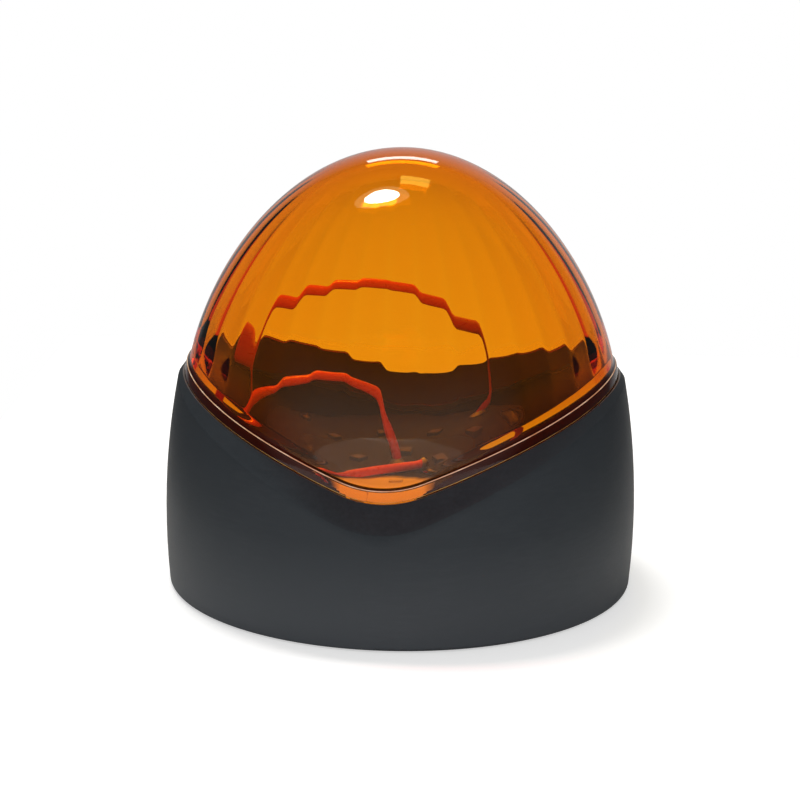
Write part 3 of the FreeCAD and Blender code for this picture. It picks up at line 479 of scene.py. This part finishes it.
def moulded_grain():
    """Blotchy colour, uneven gloss and fine grain of moulded or coated surfaces."""
    group, start, end = new_group("Moulded grain", [
        ("Colour", "NodeSocketColor", (0.5, 0.5, 0.5, 1)),
        ("Mottle", "NodeSocketFloat", 0.15),
        ("Grain scale", "NodeSocketFloat", 2200.0),
        ("Roughness", "NodeSocketFloat", 0.45),
        ("Spread", "NodeSocketFloat", 0.1),
    ], [("Colour", "NodeSocketColor"), ("Roughness", "NodeSocketFloat"), ("Height", "NodeSocketFloat")])
    coords = object_place(group)
    broad = noise(group, coords, scale=70.0, detail=4.0, roughness=0.6)
    fine = noise(group, coords, start.outputs["Grain scale"], detail=3.0, roughness=0.55)
    both = math_node(group, "ADD", broad, fine)
    swing = math_node(group, "SUBTRACT", both, 1.0)
    factor = math_node(group, "MULTIPLY_ADD", swing, start.outputs["Mottle"], 1.0)
    group.links.new(scaled_colour(group, start.outputs["Colour"], factor), end.inputs["Colour"])
    gloss = math_node(group, "MULTIPLY_ADD", swing, start.outputs["Spread"], start.outputs["Roughness"])
    group.links.new(gloss, end.inputs["Roughness"])
    group.links.new(fine, end.inputs["Height"])
    return group


def handling_marks():
    """Thin dust and faint rubbed streaks, as a mask."""
    group, start, end = new_group("Handling marks", [
        ("Amount", "NodeSocketFloat", 0.3),
    ], [("Mask", "NodeSocketFloat")])
    slanted = mapped(group, {"Scale": (1.0, 1.0, 6.0), "Rotation": (0.4, 0.2, 0.5)})
    streak = noise(group, slanted, scale=160.0, detail=5.0, roughness=0.7)
    patch = noise(group, object_place(group), scale=28.0, detail=3.0, roughness=0.6)
    patch_tone = ramp(group, math_node(group, "MULTIPLY", streak, patch), low=0.24, high=0.42)
    group.links.new(math_node(group, "MULTIPLY", patch_tone, start.outputs["Amount"]), end.inputs["Mask"])
    return group


def board_tracks():
    """Copper tracks under a solder mask, as a mask and a height."""
    group, start, end = new_group("Board tracks", [
        ("Track scale", "NodeSocketFloat", 260.0),
    ], [("Mask", "NodeSocketFloat"), ("Height", "NodeSocketFloat")])
    cells = group.nodes.new("ShaderNodeTexVoronoi")
    cells.distance = "CHEBYCHEV"
    cells.voronoi_dimensions = "2D"
    preset(cells, {"Randomness": 0.75})
    group.links.new(start.outputs["Track scale"], cells.inputs["Scale"])
    group.links.new(mapped(group, {"Scale": (1.0, 1.0, 0.0)}), cells.inputs["Vector"])
    tracks = ramp(group, cells.outputs["Distance"], low=0.30, high=0.36)
    for label in ("Mask", "Height"):
        group.links.new(tracks, end.inputs[label])
    return group


def drawn_metal():
    """Fine streaks of turned, drawn or plated metal."""
    group, start, end = new_group("Drawn metal", [
        ("Colour", "NodeSocketColor", (0.6, 0.6, 0.58, 1)),
        ("Roughness", "NodeSocketFloat", 0.3),
    ], [("Colour", "NodeSocketColor"), ("Roughness", "NodeSocketFloat"), ("Height", "NodeSocketFloat")])
    stain_spread, stain_least, streak_middle, streak_spread = 0.5, 0.75, 0.5, 0.25
    stretched = mapped(group, {"Scale": (1.0, 1.0, 12.0)})
    streak = noise(group, stretched, scale=900.0, detail=4.0, roughness=0.6)
    stain = noise(group, object_place(group), scale=320.0, detail=3.0, roughness=0.6)
    factor = math_node(group, "MULTIPLY_ADD", stain, stain_spread, stain_least)
    group.links.new(scaled_colour(group, start.outputs["Colour"], factor), end.inputs["Colour"])
    swing = math_node(group, "SUBTRACT", streak, streak_middle)
    gloss = math_node(group, "MULTIPLY_ADD", swing, streak_spread, start.outputs["Roughness"])
    group.links.new(gloss, end.inputs["Roughness"])
    group.links.new(streak, end.inputs["Height"])
    return group


EFFECT_MAKERS = {
    "grain": moulded_grain,
    "marks": handling_marks,
    "tracks": board_tracks,
    "metal": drawn_metal,
}
EFFECTS = {}


def effect(name):
    """Shared node group by name, built the first time that it is asked for."""
    if name not in EFFECTS:
        EFFECTS[name] = EFFECT_MAKERS[name]()
    return EFFECTS[name]


def place(tree, name, **values):
    """Shared effect placed in a material with its own values."""
    node = tree.nodes.new("ShaderNodeGroup")
    node.node_tree = effect(name)
    for label, value in values.items():
        socket = node.inputs[label.replace("_", " ").capitalize()]
        socket.default_value = (*value, 1) if isinstance(value, tuple) else value
    return node


# Materials

def new_material(name, shown):
    """Material with its node tree and its shader; the colour is the one for the plain view."""
    material = bpy.data.materials.new(name)
    material.use_nodes = True
    material.diffuse_color = (*shown, 1)
    return material, material.node_tree, material.node_tree.nodes["Principled BSDF"]


def bump(tree, shader, height, strength, distance):
    """Small relief from a height."""
    node = tree.nodes.new("ShaderNodeBump")
    preset(node, {"Strength": strength, "Distance": distance})
    tree.links.new(height, node.inputs["Height"])
    tree.links.new(node.outputs[0], shader.inputs["Normal"])


def feed(tree, shader, **sockets):
    """Link sockets to the shader's inputs for colour, roughness and metal."""
    labels = {"colour": "Base Color", "roughness": "Roughness", "metallic": "Metallic"}
    for what, socket in sockets.items():
        tree.links.new(socket, shader.inputs[labels[what]])


def base_moulding(finishes):
    """Charcoal wall: coarser on the bevel round the dip, where painted shade also darkens it; paler towards
    the foot from painted bounce light and faint dust.
    """
    wall, bevel, dust_and_bounce_tone = tuple(finishes.charcoal), tuple(finishes.bevel), (0.27, 0.28, 0.30)
    bevel_dip, bevel_slope, bevel_round = 0.0275, 0.465, 0.0045
    bevel_edge, bevel_blur = -0.0007, 0.0016
    flank_start, flank_blur, flank_loss = 0.030, 0.014, 0.55
    foot_height, foot_blur, foot_bounce_light = 0.012, 0.016, 0.16
    coarse_relief, coarse_roughness = 2.0, 0.1
    material, tree, shader = new_material("Charcoal moulding", wall)
    preset(shader, {"Specular IOR Level": 0.25})
    x, z = object_axis(tree, "X"), object_axis(tree, "Z")
    spread = math_node(tree, "SQRT", math_node(tree, "MULTIPLY_ADD", x, x, bevel_round ** 2))
    over = math_node(tree, "SUBTRACT", z, math_node(tree, "MULTIPLY_ADD", spread, bevel_slope, bevel_dip))
    crescent = beyond(tree, over, bevel_edge, bevel_blur)
    flank = beyond(tree, math_node(tree, "ABSOLUTE", x), flank_start, flank_blur)
    # Painted shade: the bevel round the dip is darkened, less so on the flanks; its coarser grain and
    # roughness are real.
    bevel_shade_and_grain = math_node(tree, "MULTIPLY", crescent, math_node(tree, "MULTIPLY_ADD", flank, -flank_loss, 1.0))
    grain = place(tree, "grain", colour=wall, mottle=0.14, grain_scale=1800.0, roughness=0.5, spread=0.12)
    coarse = place(tree, "grain", colour=bevel, mottle=0.5, grain_scale=1000.0, roughness=0.6, spread=0.2)
    clean = mixed_colour(tree, bevel_shade_and_grain, grain.outputs["Colour"], coarse.outputs["Colour"])
    # Painted bounce light: the wall grows paler towards the foot; the faint dust marks added to it are real.
    low = math_node(tree, "SUBTRACT", 1.0, beyond(tree, z, foot_height, foot_blur))
    dust = place(tree, "marks", amount=0.02)
    dust_and_bounce = math_node(tree, "MULTIPLY_ADD", low, foot_bounce_light, dust.outputs["Mask"])
    feed(tree, shader, colour=mixed_colour(tree, dust_and_bounce, clean, dust_and_bounce_tone),
         roughness=math_node(tree, "MULTIPLY_ADD", bevel_shade_and_grain, coarse_roughness, grain.outputs["Roughness"]))
    relief = math_node(tree, "MULTIPLY", crescent, coarse.outputs["Height"])
    height = math_node(tree, "MULTIPLY_ADD", relief, coarse_relief, grain.outputs["Height"])
    bump(tree, shader, height, strength=0.15, distance=0.00005)
    return material


def in_light_pool(tree, plain, pool_colour):
    """Colour of a surface on the LED board, pale inside the round pool of painted light."""
    return mixed_colour(tree, outside_spot(tree, *LIGHT_POOL_SPOT), pool_colour, plain)


def moulded(name, shown, roughness, grain_scale=2200.0, mottle=0.15, strength=0.15, depth=0.00005, gloss=0.5,
            pool_colour=None):
    """Moulded plastic, rubber or lacquer with its grain, pale where it stands in the painted pool of light on
    the board.
    """
    material, tree, shader = new_material(name, shown)
    preset(shader, {"Specular IOR Level": gloss})
    grain = place(tree, "grain", colour=shown, mottle=mottle, grain_scale=grain_scale, roughness=roughness)
    final = grain.outputs["Colour"]
    if pool_colour:
        final = in_light_pool(tree, final, pool_colour)
    feed(tree, shader, colour=final, roughness=grain.outputs["Roughness"])
    bump(tree, shader, grain.outputs["Height"], strength, depth)
    return material


def plated(name, shown, roughness):
    """Metal with fine streaks."""
    material, tree, shader = new_material(name, shown)
    metal = place(tree, "metal", colour=shown, roughness=roughness)
    feed(tree, shader, colour=metal.outputs["Colour"], roughness=metal.outputs["Roughness"])
    preset(shader, {"Metallic": 1.0})
    bump(tree, shader, metal.outputs["Height"], strength=0.1, distance=0.00002)
    return material


def circuit_board(name, mask_colour, track_colour, roughness, scale, gloss=0.5, pool_colour=None):
    """Solder mask over copper tracks, with a round pale pool of painted light where one is asked for."""
    material, tree, shader = new_material(name, mask_colour)
    preset(shader, {"Specular IOR Level": gloss})
    tracks = place(tree, "tracks", track_scale=scale)
    grain = place(tree, "grain", colour=mask_colour, roughness=roughness, mottle=0.2)
    final = mixed_colour(tree, tracks.outputs["Mask"], grain.outputs["Colour"], track_colour)
    if pool_colour:
        final = in_light_pool(tree, final, pool_colour)
    feed(tree, shader, colour=final, roughness=grain.outputs["Roughness"])
    bump(tree, shader, tracks.outputs["Height"], strength=0.3, distance=0.00004)
    return material


def amber_plastic(finishes):
    """Clear amber plastic: tinted through its depth, so thick edges go red."""
    material, tree, shader = new_material("Clear amber", (0.95, 0.4, 0.02))
    preset(shader, {"Base Color": (*WHITE, 1), "Roughness": 0.015, "IOR": 1.52, "Transmission Weight": 1.0})
    bump(tree, shader, noise(tree, object_place(tree), scale=55.0), strength=0.03, distance=0.002)
    tint = tree.nodes.new("ShaderNodeVolumeAbsorption")
    preset(tint, {"Color": (*finishes.amber, 1), "Density": finishes.amber_density})
    path = tree.nodes.new("ShaderNodeLightPath")
    soft = math_node(tree, "MAXIMUM", path.outputs["Is Shadow Ray"], path.outputs["Is Diffuse Ray"])
    clear = tree.nodes.new("ShaderNodeBsdfTransparent")
    mix = tree.nodes.new("ShaderNodeMixShader")
    for index, socket in enumerate((soft, shader.outputs[0], clear.outputs[0])):
        tree.links.new(socket, mix.inputs[index])
    end = tree.nodes["Material Output"]
    tree.links.new(mix.outputs[0], end.inputs["Surface"])
    tree.links.new(tint.outputs[0], end.inputs["Volume"])
    return material


def painted_edge_light(name, shown, patch_tone):
    """Painted light on an edge of the amber dome: a pale colour broken by dimmer patches."""
    smooth, rougher = 0.25, 0.2
    material, tree, shader = new_material(name, shown)
    patches = noise(tree, object_place(tree), scale=190.0, detail=4.0, roughness=0.6)
    patchy = beyond(tree, patches, edge=0.5, blur=0.2)
    feed(tree, shader, colour=mixed_colour(tree, patchy, patch_tone, shown),
         roughness=math_node(tree, "MULTIPLY_ADD", patchy, rougher, smooth))
    return material


def fuse_glass():
    """Clear glass with faint marks."""
    smooth, rougher = 0.03, 0.4
    material, tree, shader = new_material("Fuse glass", (0.9, 0.95, 0.95))
    preset(shader, {"Base Color": (0.95, 0.98, 0.97, 1), "Transmission Weight": 1.0, "IOR": 1.5})
    marks = place(tree, "marks", amount=0.25)
    feed(tree, shader, roughness=math_node(tree, "MULTIPLY_ADD", marks.outputs["Mask"], rougher, smooth))
    return material


def shrink_sleeve(name, box):
    """Dark sleeve with a pale stripe down one side and a bare metal top."""
    sleeve, stripe, metal = (0.03, 0.035, 0.08), (0.55, 0.57, 0.6), (0.7, 0.7, 0.71)
    stripe_depth, top_depth, blur = 1.0 * MM, 0.45 * MM, 0.05 * MM
    high = box[1]
    material, tree, shader = new_material(name, sleeve)
    on_stripe = beyond(tree, object_axis(tree, "X"), high[0] - stripe_depth, blur)
    on_top = beyond(tree, object_axis(tree, "Z"), high[2] - top_depth, blur)
    grain = place(tree, "grain", colour=sleeve, roughness=0.3, mottle=0.2)
    striped = mixed_colour(tree, on_stripe, grain.outputs["Colour"], stripe)
    feed(tree, shader, colour=mixed_colour(tree, on_top, striped, metal), metallic=on_top,
         roughness=grain.outputs["Roughness"])
    bump(tree, shader, grain.outputs["Height"], strength=0.1, distance=0.00003)
    return material


def tab_package(name, box):
    """Moulded package with a tinned metal tab low down."""
    epoxy, tin = (0.02, 0.02, 0.021), (0.68, 0.68, 0.67)
    tab_height, blur = 1.3 * MM, 0.02 * MM
    material, tree, shader = new_material(name, (0.02, 0.02, 0.02))
    on_tab = beyond(tree, opposite(tree, object_axis(tree, "Z")), -(box[0][2] + tab_height), blur)
    grain = place(tree, "grain", colour=epoxy, roughness=0.5, mottle=0.3)
    feed(tree, shader, colour=mixed_colour(tree, on_tab, grain.outputs["Colour"], tin), metallic=on_tab,
         roughness=grain.outputs["Roughness"])
    bump(tree, shader, grain.outputs["Height"], strength=0.2, distance=0.00004)
    return material


def wound_wire(name, shown, pitch):
    """Enamelled wire laid in turns; a wave texture of scale 1 has its bands pi / 10 apart."""
    groove_light, turn_light = 0.4, 0.6
    material, tree, shader = new_material(name, shown)
    wave = tree.nodes.new("ShaderNodeTexWave")
    wave.wave_type = "BANDS"
    wave.bands_direction = "Z"
    preset(wave, {"Scale": math.pi / 10 / pitch, "Distortion": 0.3})
    tree.links.new(object_place(tree), wave.inputs["Vector"])
    metal = place(tree, "metal", colour=shown, roughness=0.25)
    # Painted shade: the colour darkens in the grooves between turns.
    shade = math_node(tree, "MULTIPLY_ADD", wave.outputs["Fac"], turn_light, groove_light)
    feed(tree, shader, colour=scaled_colour(tree, metal.outputs["Colour"], shade),
         roughness=metal.outputs["Roughness"])
    preset(shader, {"Metallic": 0.8})
    bump(tree, shader, wave.outputs["Fac"], strength=0.6, distance=0.0001)
    return material


def banded_lacquer(name, box):
    """Pale lacquer with painted rings along Y."""
    lacquer = (0.42, 0.52, 0.58, 1)
    rings = [(0.12, (0.14, 0.05, 0.02, 1)), (0.32, (0.02, 0.02, 0.02, 1)), (0.47, (0.5, 0.05, 0.03, 1)),
             (0.80, (0.55, 0.38, 0.1, 1))]
    ring_width, last_stop = 0.08, 0.97
    low, high = box
    material, tree, shader = new_material(name, (0.45, 0.55, 0.6))
    bands = tree.nodes.new("ShaderNodeValToRGB")
    bands.color_ramp.interpolation = "CONSTANT"
    stops = bands.color_ramp.elements
    stops[1].position = last_stop
    for stop in stops:
        stop.color = lacquer
    for start, shade in rings:
        stops.new(start).color = shade
        stops.new(start + ring_width).color = lacquer
    tree.links.new(ramp(tree, object_axis(tree, "Y"), low[1], high[1]), bands.inputs[0])
    grain = place(tree, "grain", colour=(0.5, 0.5, 0.5), roughness=0.25, mottle=0.1)
    feed(tree, shader, colour=bands.outputs[0], roughness=grain.outputs["Roughness"])
    bump(tree, shader, grain.outputs["Height"], strength=0.1, distance=0.00004)
    return material


def paint(node, *materials):
    """Put finishes on a CAD node in place of its plain ones."""
    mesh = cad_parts[node].data
    mesh.materials.clear()
    for material in materials:
        mesh.materials.append(material)
    return mesh


# Operators

class WARNINGLIGHT_OT_dome(bpy.types.Operator):
    """Shape the amber dome with its flutes and flange"""

    bl_idname = "warning_light.dome"
    bl_label = "Shape dome"

    def execute(self, context):
        sizes = context.scene.warning_light_dome
        columns = sizes.flutes * COLUMNS_PER_FLUTE
        turn = np.linspace(-math.pi, math.pi, columns + 1)
        outside = wrapped_sheet("dome_outside", turn, dome_outside(turn, sizes))
        inside = wrapped_sheet("dome_inside", turn, dome_inside(turn, sizes))
        dome = join_and_close([outside, inside], "amber_dome")
        for finish in (
            amber_plastic(context.scene.warning_light_finishes),
            # Painted highlight: a pale line along the flange's upper edge.
            painted_edge_light("Scuffed edge", shown=(1.0, 0.80, 0.58), patch_tone=(0.55, 0.22, 0.06)),
            # Painted light: a bright glow on the flange's lower edge.
            painted_edge_light("Bright foot", shown=(0.95, 0.58, 0.16), patch_tone=(0.45, 0.14, 0.02)),
            # Painted shade: a dark band inside the dome's foot, where the base's inner edge shades it.
            moulded("Darkened foot", (0.06, 0.02, 0.012), roughness=0.6, grain_scale=900.0, mottle=0.3,
                    gloss=0.2),
        ):
            dome.data.materials.append(finish)
        self.find_edges(dome.data, sizes)
        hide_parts("lens")
        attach(dome, "lens")
        return {"FINISHED"}

    def find_edges(self, mesh, sizes):
        """Give the flange's two edges and the band inside the foot their own finishes: painted highlight on
        the upper edge, painted glow on the lower, painted shade in the band.
        """
        edge_from, edge_to = 0.62 * sizes.flange_proud, 0.93 * sizes.flange_proud
        foot_height, foot_from = 0.8 * sizes.flange_foot_round, 0.5 * sizes.flange_proud
        inner_face = -0.8 * sizes.wall
        x, y, z = face_vectors(mesh, "center").T
        over_rim = z - rim_height(x, sizes)
        lift = over_rim - sizes.flange_gap
        proud = np.hypot(x, y) - dome_radius(z, sizes)
        upper = (lift > sizes.flange_height / 2) & (proud > edge_from) & (proud < edge_to)
        lower = (lift < foot_height) & (proud > foot_from)
        # Painted shade band: full height at the back, clear over the front dip.
        tall = sizes.band_height * np.where(y > 0, 1, off_the_dip(x, sizes))
        band = (proud < inner_face) & (over_rim < tall) & (tall > 0)
        share_out(mesh, upper, lower, band)


class WARNINGLIGHT_OT_base(bpy.types.Operator):
    """Finish the base, its bevel, the seal and the grommet"""

    bl_idname = "warning_light.base"
    bl_label = "Finish base"

    def execute(self, context):
        finishes = context.scene.warning_light_finishes
        # Painted highlight: the land round the dome is lighter than the wall.
        rim = moulded("Rubbed rim", tuple(finishes.rim), roughness=0.4, grain_scale=1800.0, mottle=0.3)
        inside = moulded("Matt inside", tuple(finishes.inside), roughness=0.8, grain_scale=1800.0, mottle=0.3,
                         gloss=0.1)
        self.find_inside(paint("base_housing", base_moulding(finishes), rim, inside))
        rubber = moulded("Black rubber", (0.02, 0.02, 0.02), roughness=0.65, grain_scale=1500.0, mottle=0.3,
                         strength=0.25, depth=0.00006)
        for node in ("lens_seal", "cable_grommet"):
            paint(node, rubber)
        return {"FINISHED"}

    def find_inside(self, mesh):
        """Give the land under the flange its painted highlight and the inside its own finish."""
        well_radius, wall_radius = 0.0574, 0.0596
        land_height, underside = 0.036, 0.002
        level = 0.85
        normals, centres = face_vectors(mesh, "normal"), face_vectors(mesh, "center")
        upwards, height = normals[:, 2], centres[:, 2]
        outwards = (normals[:, :2] * centres[:, :2]).sum(axis=1) > 0
        across = np.hypot(centres[:, 0], centres[:, 1])
        land = (upwards > level) & (across > well_radius) & (height > land_height)
        inner_wall = (across < wall_radius) & ~outwards & (np.abs(upwards) < level)
        within = ((across < well_radius) | inner_wall) & (height > underside)
        share_out(mesh, land, within)


class WARNINGLIGHT_OT_leads(bpy.types.Operator):
    """Finish the red leads, their joints and their socket"""

    bl_idname = "warning_light.leads"
    bl_label = "Finish leads"

    def execute(self, context):
        finishes = context.scene.warning_light_finishes
        red = moulded("Red insulation", tuple(finishes.lead), roughness=0.28, grain_scale=900.0, mottle=0.2)
        for node, (whole, points) in LEADS.items():
            lead = self.lay_lead(node + "_run", [[MM * part for part in point] for point in points])
            lead.data.materials.append(red)
            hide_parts(node)
            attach(lead, "base")
        paint("lead_joints", plated("Solder", (0.35, 0.33, 0.30), roughness=0.5))
        nylon = moulded("Nylon", (0.72, 0.7, 0.62), roughness=0.4, grain_scale=1500.0, mottle=0.1)
        paint("lead_socket", nylon)
        return {"FINISHED"}

    def lay_lead(self, name, points):
        """Round lead on one smooth spline that its route's points control."""
        curve = bpy.data.curves.new(name, "CURVE")
        curve.dimensions = "3D"
        curve.bevel_depth = LEAD_RADIUS
        curve.bevel_resolution = 4
        curve.resolution_u = 20
        curve.use_fill_caps = True
        spline = curve.splines.new("NURBS")
        spline.points.add(len(points) - 1)
        for knot, point in zip(spline.points, points):
            knot.co = (*point, 1)
        spline.order_u = 3
        spline.use_endpoint_u = True
        lead = bpy.data.objects.new(name, curve)
        bpy.context.scene.collection.objects.link(lead)
        return lead


class WARNINGLIGHT_OT_boards(bpy.types.Operator):
    """Finish both boards, the LEDs and the screws"""

    bl_idname = "warning_light.boards"
    bl_label = "Finish boards"

    def execute(self, context):
        finishes = context.scene.warning_light_finishes
        # The pale colour paints one pool of light across the board, the LED cases and their windows.
        board, pale = tuple(finishes.board), tuple(finishes.print)
        tracks = tuple(1.35 * part for part in board)
        paint("led_board", circuit_board("Black solder mask", board, tracks, roughness=0.75, scale=170.0,
                                         gloss=0.12, pool_colour=pale))
        paint("driver_board", circuit_board("Green solder mask", (0.02, 0.11, 0.045), (0.05, 0.2, 0.08),
                                            roughness=0.35, scale=260.0))
        paint("led_packages", moulded("LED case", (0.03, 0.027, 0.023), roughness=0.6, gloss=0.2,
                                      pool_colour=pale))
        paint("led_windows", moulded("LED window", (0.05, 0.03, 0.015), roughness=0.5, grain_scale=900.0,
                                     mottle=0.25, gloss=0.2, pool_colour=pale))
        paint("led_board_screws", plated("Blackened steel", (0.05, 0.05, 0.05), roughness=0.5))
        steel = plated("Zinc plated steel", (0.6, 0.6, 0.58), roughness=0.3)
        for node in ("driver_board_screws", "terminal_screw_left", "terminal_screw_right"):
            paint(node, steel)
        return {"FINISHED"}


class WARNINGLIGHT_OT_circuit(bpy.types.Operator):
    """Finish the terminal, the fuse and the flasher circuit"""

    bl_idname = "warning_light.circuit"
    bl_label = "Finish circuit"

    def execute(self, context):
        paint("terminal_block", moulded("Green terminal", (0.03, 0.24, 0.09), roughness=0.35,
                                        grain_scale=1500.0, mottle=0.12))
        brass = plated("Plated brass", (0.75, 0.6, 0.3), roughness=0.28)
        for node in ("terminal_cage_left", "terminal_cage_right", "fuse_clips"):
            paint(node, brass)
        paint("fuse_tube", fuse_glass())
        paint("fuse_caps", plated("Nickel plate", (0.72, 0.71, 0.69), roughness=0.2))
        paint("storage_capacitor", shrink_sleeve("Shrink sleeve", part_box("storage_capacitor")))
        epoxy = moulded("Black epoxy", (0.02, 0.02, 0.021), roughness=0.5, grain_scale=1400.0, mottle=0.3)
        for node in ("bridge_rectifier", "timer_chip"):
            paint(node, epoxy)
        paint("timer_legs", plated("Tinned legs", (0.68, 0.68, 0.67), roughness=0.3))
        paint("switch_transistor", tab_package("Tab package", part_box("switch_transistor")))
        paint("choke_core", moulded("Ferrite", (0.06, 0.06, 0.065), roughness=0.55, grain_scale=800.0,
                                    mottle=0.35, strength=0.3))
        paint("choke_winding", wound_wire("Enamelled copper", (0.55, 0.22, 0.08), pitch=0.35 * MM))
        paint("ballast_resistors", banded_lacquer("Resistor lacquer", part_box("ballast_resistors")))
        return {"FINISHED"}


class WARNINGLIGHT_OT_stage(bpy.types.Operator):
    """Set the floor, the light and the camera"""

    bl_idname = "warning_light.stage"
    bl_label = "Set stage"

    def execute(self, context):
        stage = context.scene.warning_light_stage
        self.lay_floor()
        self.light_sky(context.scene, stage.sky)
        for name, (place_at, shape, size, setting, tint) in LAMPS.items():
            self.hang_lamp(name, place_at, shape, size, getattr(stage, setting), tint)
        self.aim_camera(context.scene, stage)
        context.scene.view_settings.view_transform = "Standard"
        return {"FINISHED"}

    def lay_floor(self):
        """Pale floor that glows for rays from the camera, through glass and from gloss."""
        half_width, half_depth, forwards, drop = 0.14, 0.4, 0.15, 0.0003
        pale = (0.75, 0.75, 0.75)
        glow_shares = {"Is Camera Ray": 0.5, "Is Transmission Ray": 0.2, "Is Glossy Ray": 0.03}
        deselect_all()
        bpy.ops.mesh.primitive_plane_add(size=2, location=(0, 0, 0))
        floor = bpy.context.object
        floor.name = "floor"
        for corner in floor.data.vertices:
            corner.co = (half_width * corner.co.x, half_depth * corner.co.y - forwards, -drop)
        material, tree, shader = new_material("Pale floor", pale)
        preset(shader, {"Base Color": (*pale, 1), "Roughness": 0.8, "Specular IOR Level": 0.1,
                        "Emission Color": (*WHITE, 1)})
        path = tree.nodes.new("ShaderNodeLightPath")
        glow = 0.0
        for ray, share in glow_shares.items():
            glow = math_node(tree, "MULTIPLY_ADD", path.outputs[ray], share, glow)
        tree.links.new(glow, shader.inputs["Emission Strength"])
        floor.data.materials.append(material)

    def light_sky(self, scene, strength):
        """White for the camera, nearly white through glass, and dim for gloss with a paler table and back."""
        dim, table_share, back_share = 0.05, 0.35, 0.45
        through_least, through_more = 0.78, 0.22
        world = bpy.data.worlds.new("Studio")
        world.use_nodes = True
        scene.world = world
        tree = world.node_tree
        sky = tree.nodes["Background"]
        preset(sky, {"Color": (*WHITE, 1)})
        rays = tree.nodes.new("ShaderNodeLightPath").outputs
        camera, glass, glossy = rays["Is Camera Ray"], rays["Is Transmission Ray"], rays["Is Glossy Ray"]
        split = tree.nodes.new("ShaderNodeSeparateXYZ")
        tree.links.new(tree.nodes.new("ShaderNodeTexCoord").outputs["Generated"], split.inputs[0])
        y, z = split.outputs["Y"], split.outputs["Z"]
        behind = beyond(tree, y, edge=0.9, blur=0.1)
        before = beyond(tree, opposite(tree, y), edge=0.55, blur=0.25)
        low = math_node(tree, "SUBTRACT", 1.0, beyond(tree, z, edge=0.25, blur=0.2))
        below = beyond(tree, opposite(tree, z), edge=0.17, blur=0.08)
        table = math_node(tree, "MULTIPLY", before, low)
        room = math_node(tree, "MULTIPLY_ADD", table, table_share, dim)
        backdrop = math_node(tree, "MULTIPLY_ADD", behind, back_share, room)
        white = math_node(tree, "MULTIPLY_ADD", below, through_more, through_least)
        shown = math_node(tree, "MAXIMUM", camera, math_node(tree, "MULTIPLY", white, glass))
        direct = math_node(tree, "MAXIMUM", shown, math_node(tree, "MULTIPLY", backdrop, glossy))
        seen = math_node(tree, "MAXIMUM", camera, glass)
        other = math_node(tree, "SUBTRACT", 1.0, math_node(tree, "MAXIMUM", seen, glossy))
        total = math_node(tree, "MULTIPLY_ADD", other, strength, direct)
        tree.links.new(total, sky.inputs["Strength"])

    def hang_lamp(self, name, place_at, shape, size, power, tint):
        """Lamp that the camera doesn't see, level from side to side and aimed at the object."""
        deselect_all()
        bpy.ops.object.light_add(type="AREA", location=place_at)
        lamp = bpy.context.object
        lamp.name = name
        lamp.data.shape = shape
        lamp.data.size, lamp.data.size_y = size
        lamp.data.energy = power
        lamp.data.color = tint
        lamp.visible_camera = False
        lamp.visible_glossy = lamp.visible_transmission = name != LAMP_WITHOUT_REFLECTION
        back = (lamp.location - Vector(LAMPS_AIM_AT)).normalized()
        side = (Vector((1, 0, 0)) - back * back.x).normalized()
        lamp.rotation_euler = Matrix((side, back.cross(side), back)).transposed().to_euler()

    def aim_camera(self, scene, stage):
        """Camera at the photograph's angle and distance."""
        data = bpy.data.cameras.new("photo_camera")
        camera = bpy.data.objects.new("photo_camera", data)
        scene.collection.objects.link(camera)
        target = Vector(stage.target)
        towards = Vector((math.sin(stage.azimuth) * math.cos(stage.elevation),
                          -math.cos(stage.azimuth) * math.cos(stage.elevation),
                          math.sin(stage.elevation)))
        camera.location = target + towards * stage.distance
        look = (-towards).to_track_quat("-Z", "Y")
        camera.rotation_euler = (look @ Quaternion((0, 0, 1), stage.roll)).to_euler()
        data.lens = stage.focal
        data.sensor_width = 36
        data.clip_start = 0.01
        data.clip_end = 50
        scene.camera = camera


class WARNINGLIGHT_PT_panel(bpy.types.Panel):
    """Steps and settings of the warning light"""

    bl_idname = "WARNINGLIGHT_PT_panel"
    bl_label = "Warning light"
    bl_space_type = "VIEW_3D"
    bl_region_type = "UI"
    bl_category = "Warning light"

    def draw(self, context):
        for step in STEPS:
            self.layout.operator(step.bl_idname)
        for settings in (context.scene.warning_light_dome, context.scene.warning_light_finishes,
                         context.scene.warning_light_stage):
            box = self.layout.box()
            for item in settings.bl_rna.properties:
                if item.identifier not in ("rna_type", "name"):
                    box.prop(settings, item.identifier)


STEPS = (WARNINGLIGHT_OT_dome, WARNINGLIGHT_OT_base, WARNINGLIGHT_OT_leads, WARNINGLIGHT_OT_boards,
         WARNINGLIGHT_OT_circuit, WARNINGLIGHT_OT_stage)
CLASSES = (DomeSizes, Finishes, StageSettings) + STEPS + (WARNINGLIGHT_PT_panel,)


def register():
    for item in CLASSES:
        bpy.utils.register_class(item)
    bpy.types.Scene.warning_light_dome = PointerProperty(type=DomeSizes)
    bpy.types.Scene.warning_light_finishes = PointerProperty(type=Finishes)
    bpy.types.Scene.warning_light_stage = PointerProperty(type=StageSettings)


def unregister():
    del bpy.types.Scene.warning_light_stage
    del bpy.types.Scene.warning_light_finishes
    del bpy.types.Scene.warning_light_dome
    for item in reversed(CLASSES):
        bpy.utils.unregister_class(item)


def main():
    register()
    bpy.ops.warning_light.dome()
    bpy.ops.warning_light.base()
    bpy.ops.warning_light.leads()
    bpy.ops.warning_light.boards()
    bpy.ops.warning_light.circuit()
    bpy.ops.warning_light.stage()


if __name__ == "__main__":
    main()
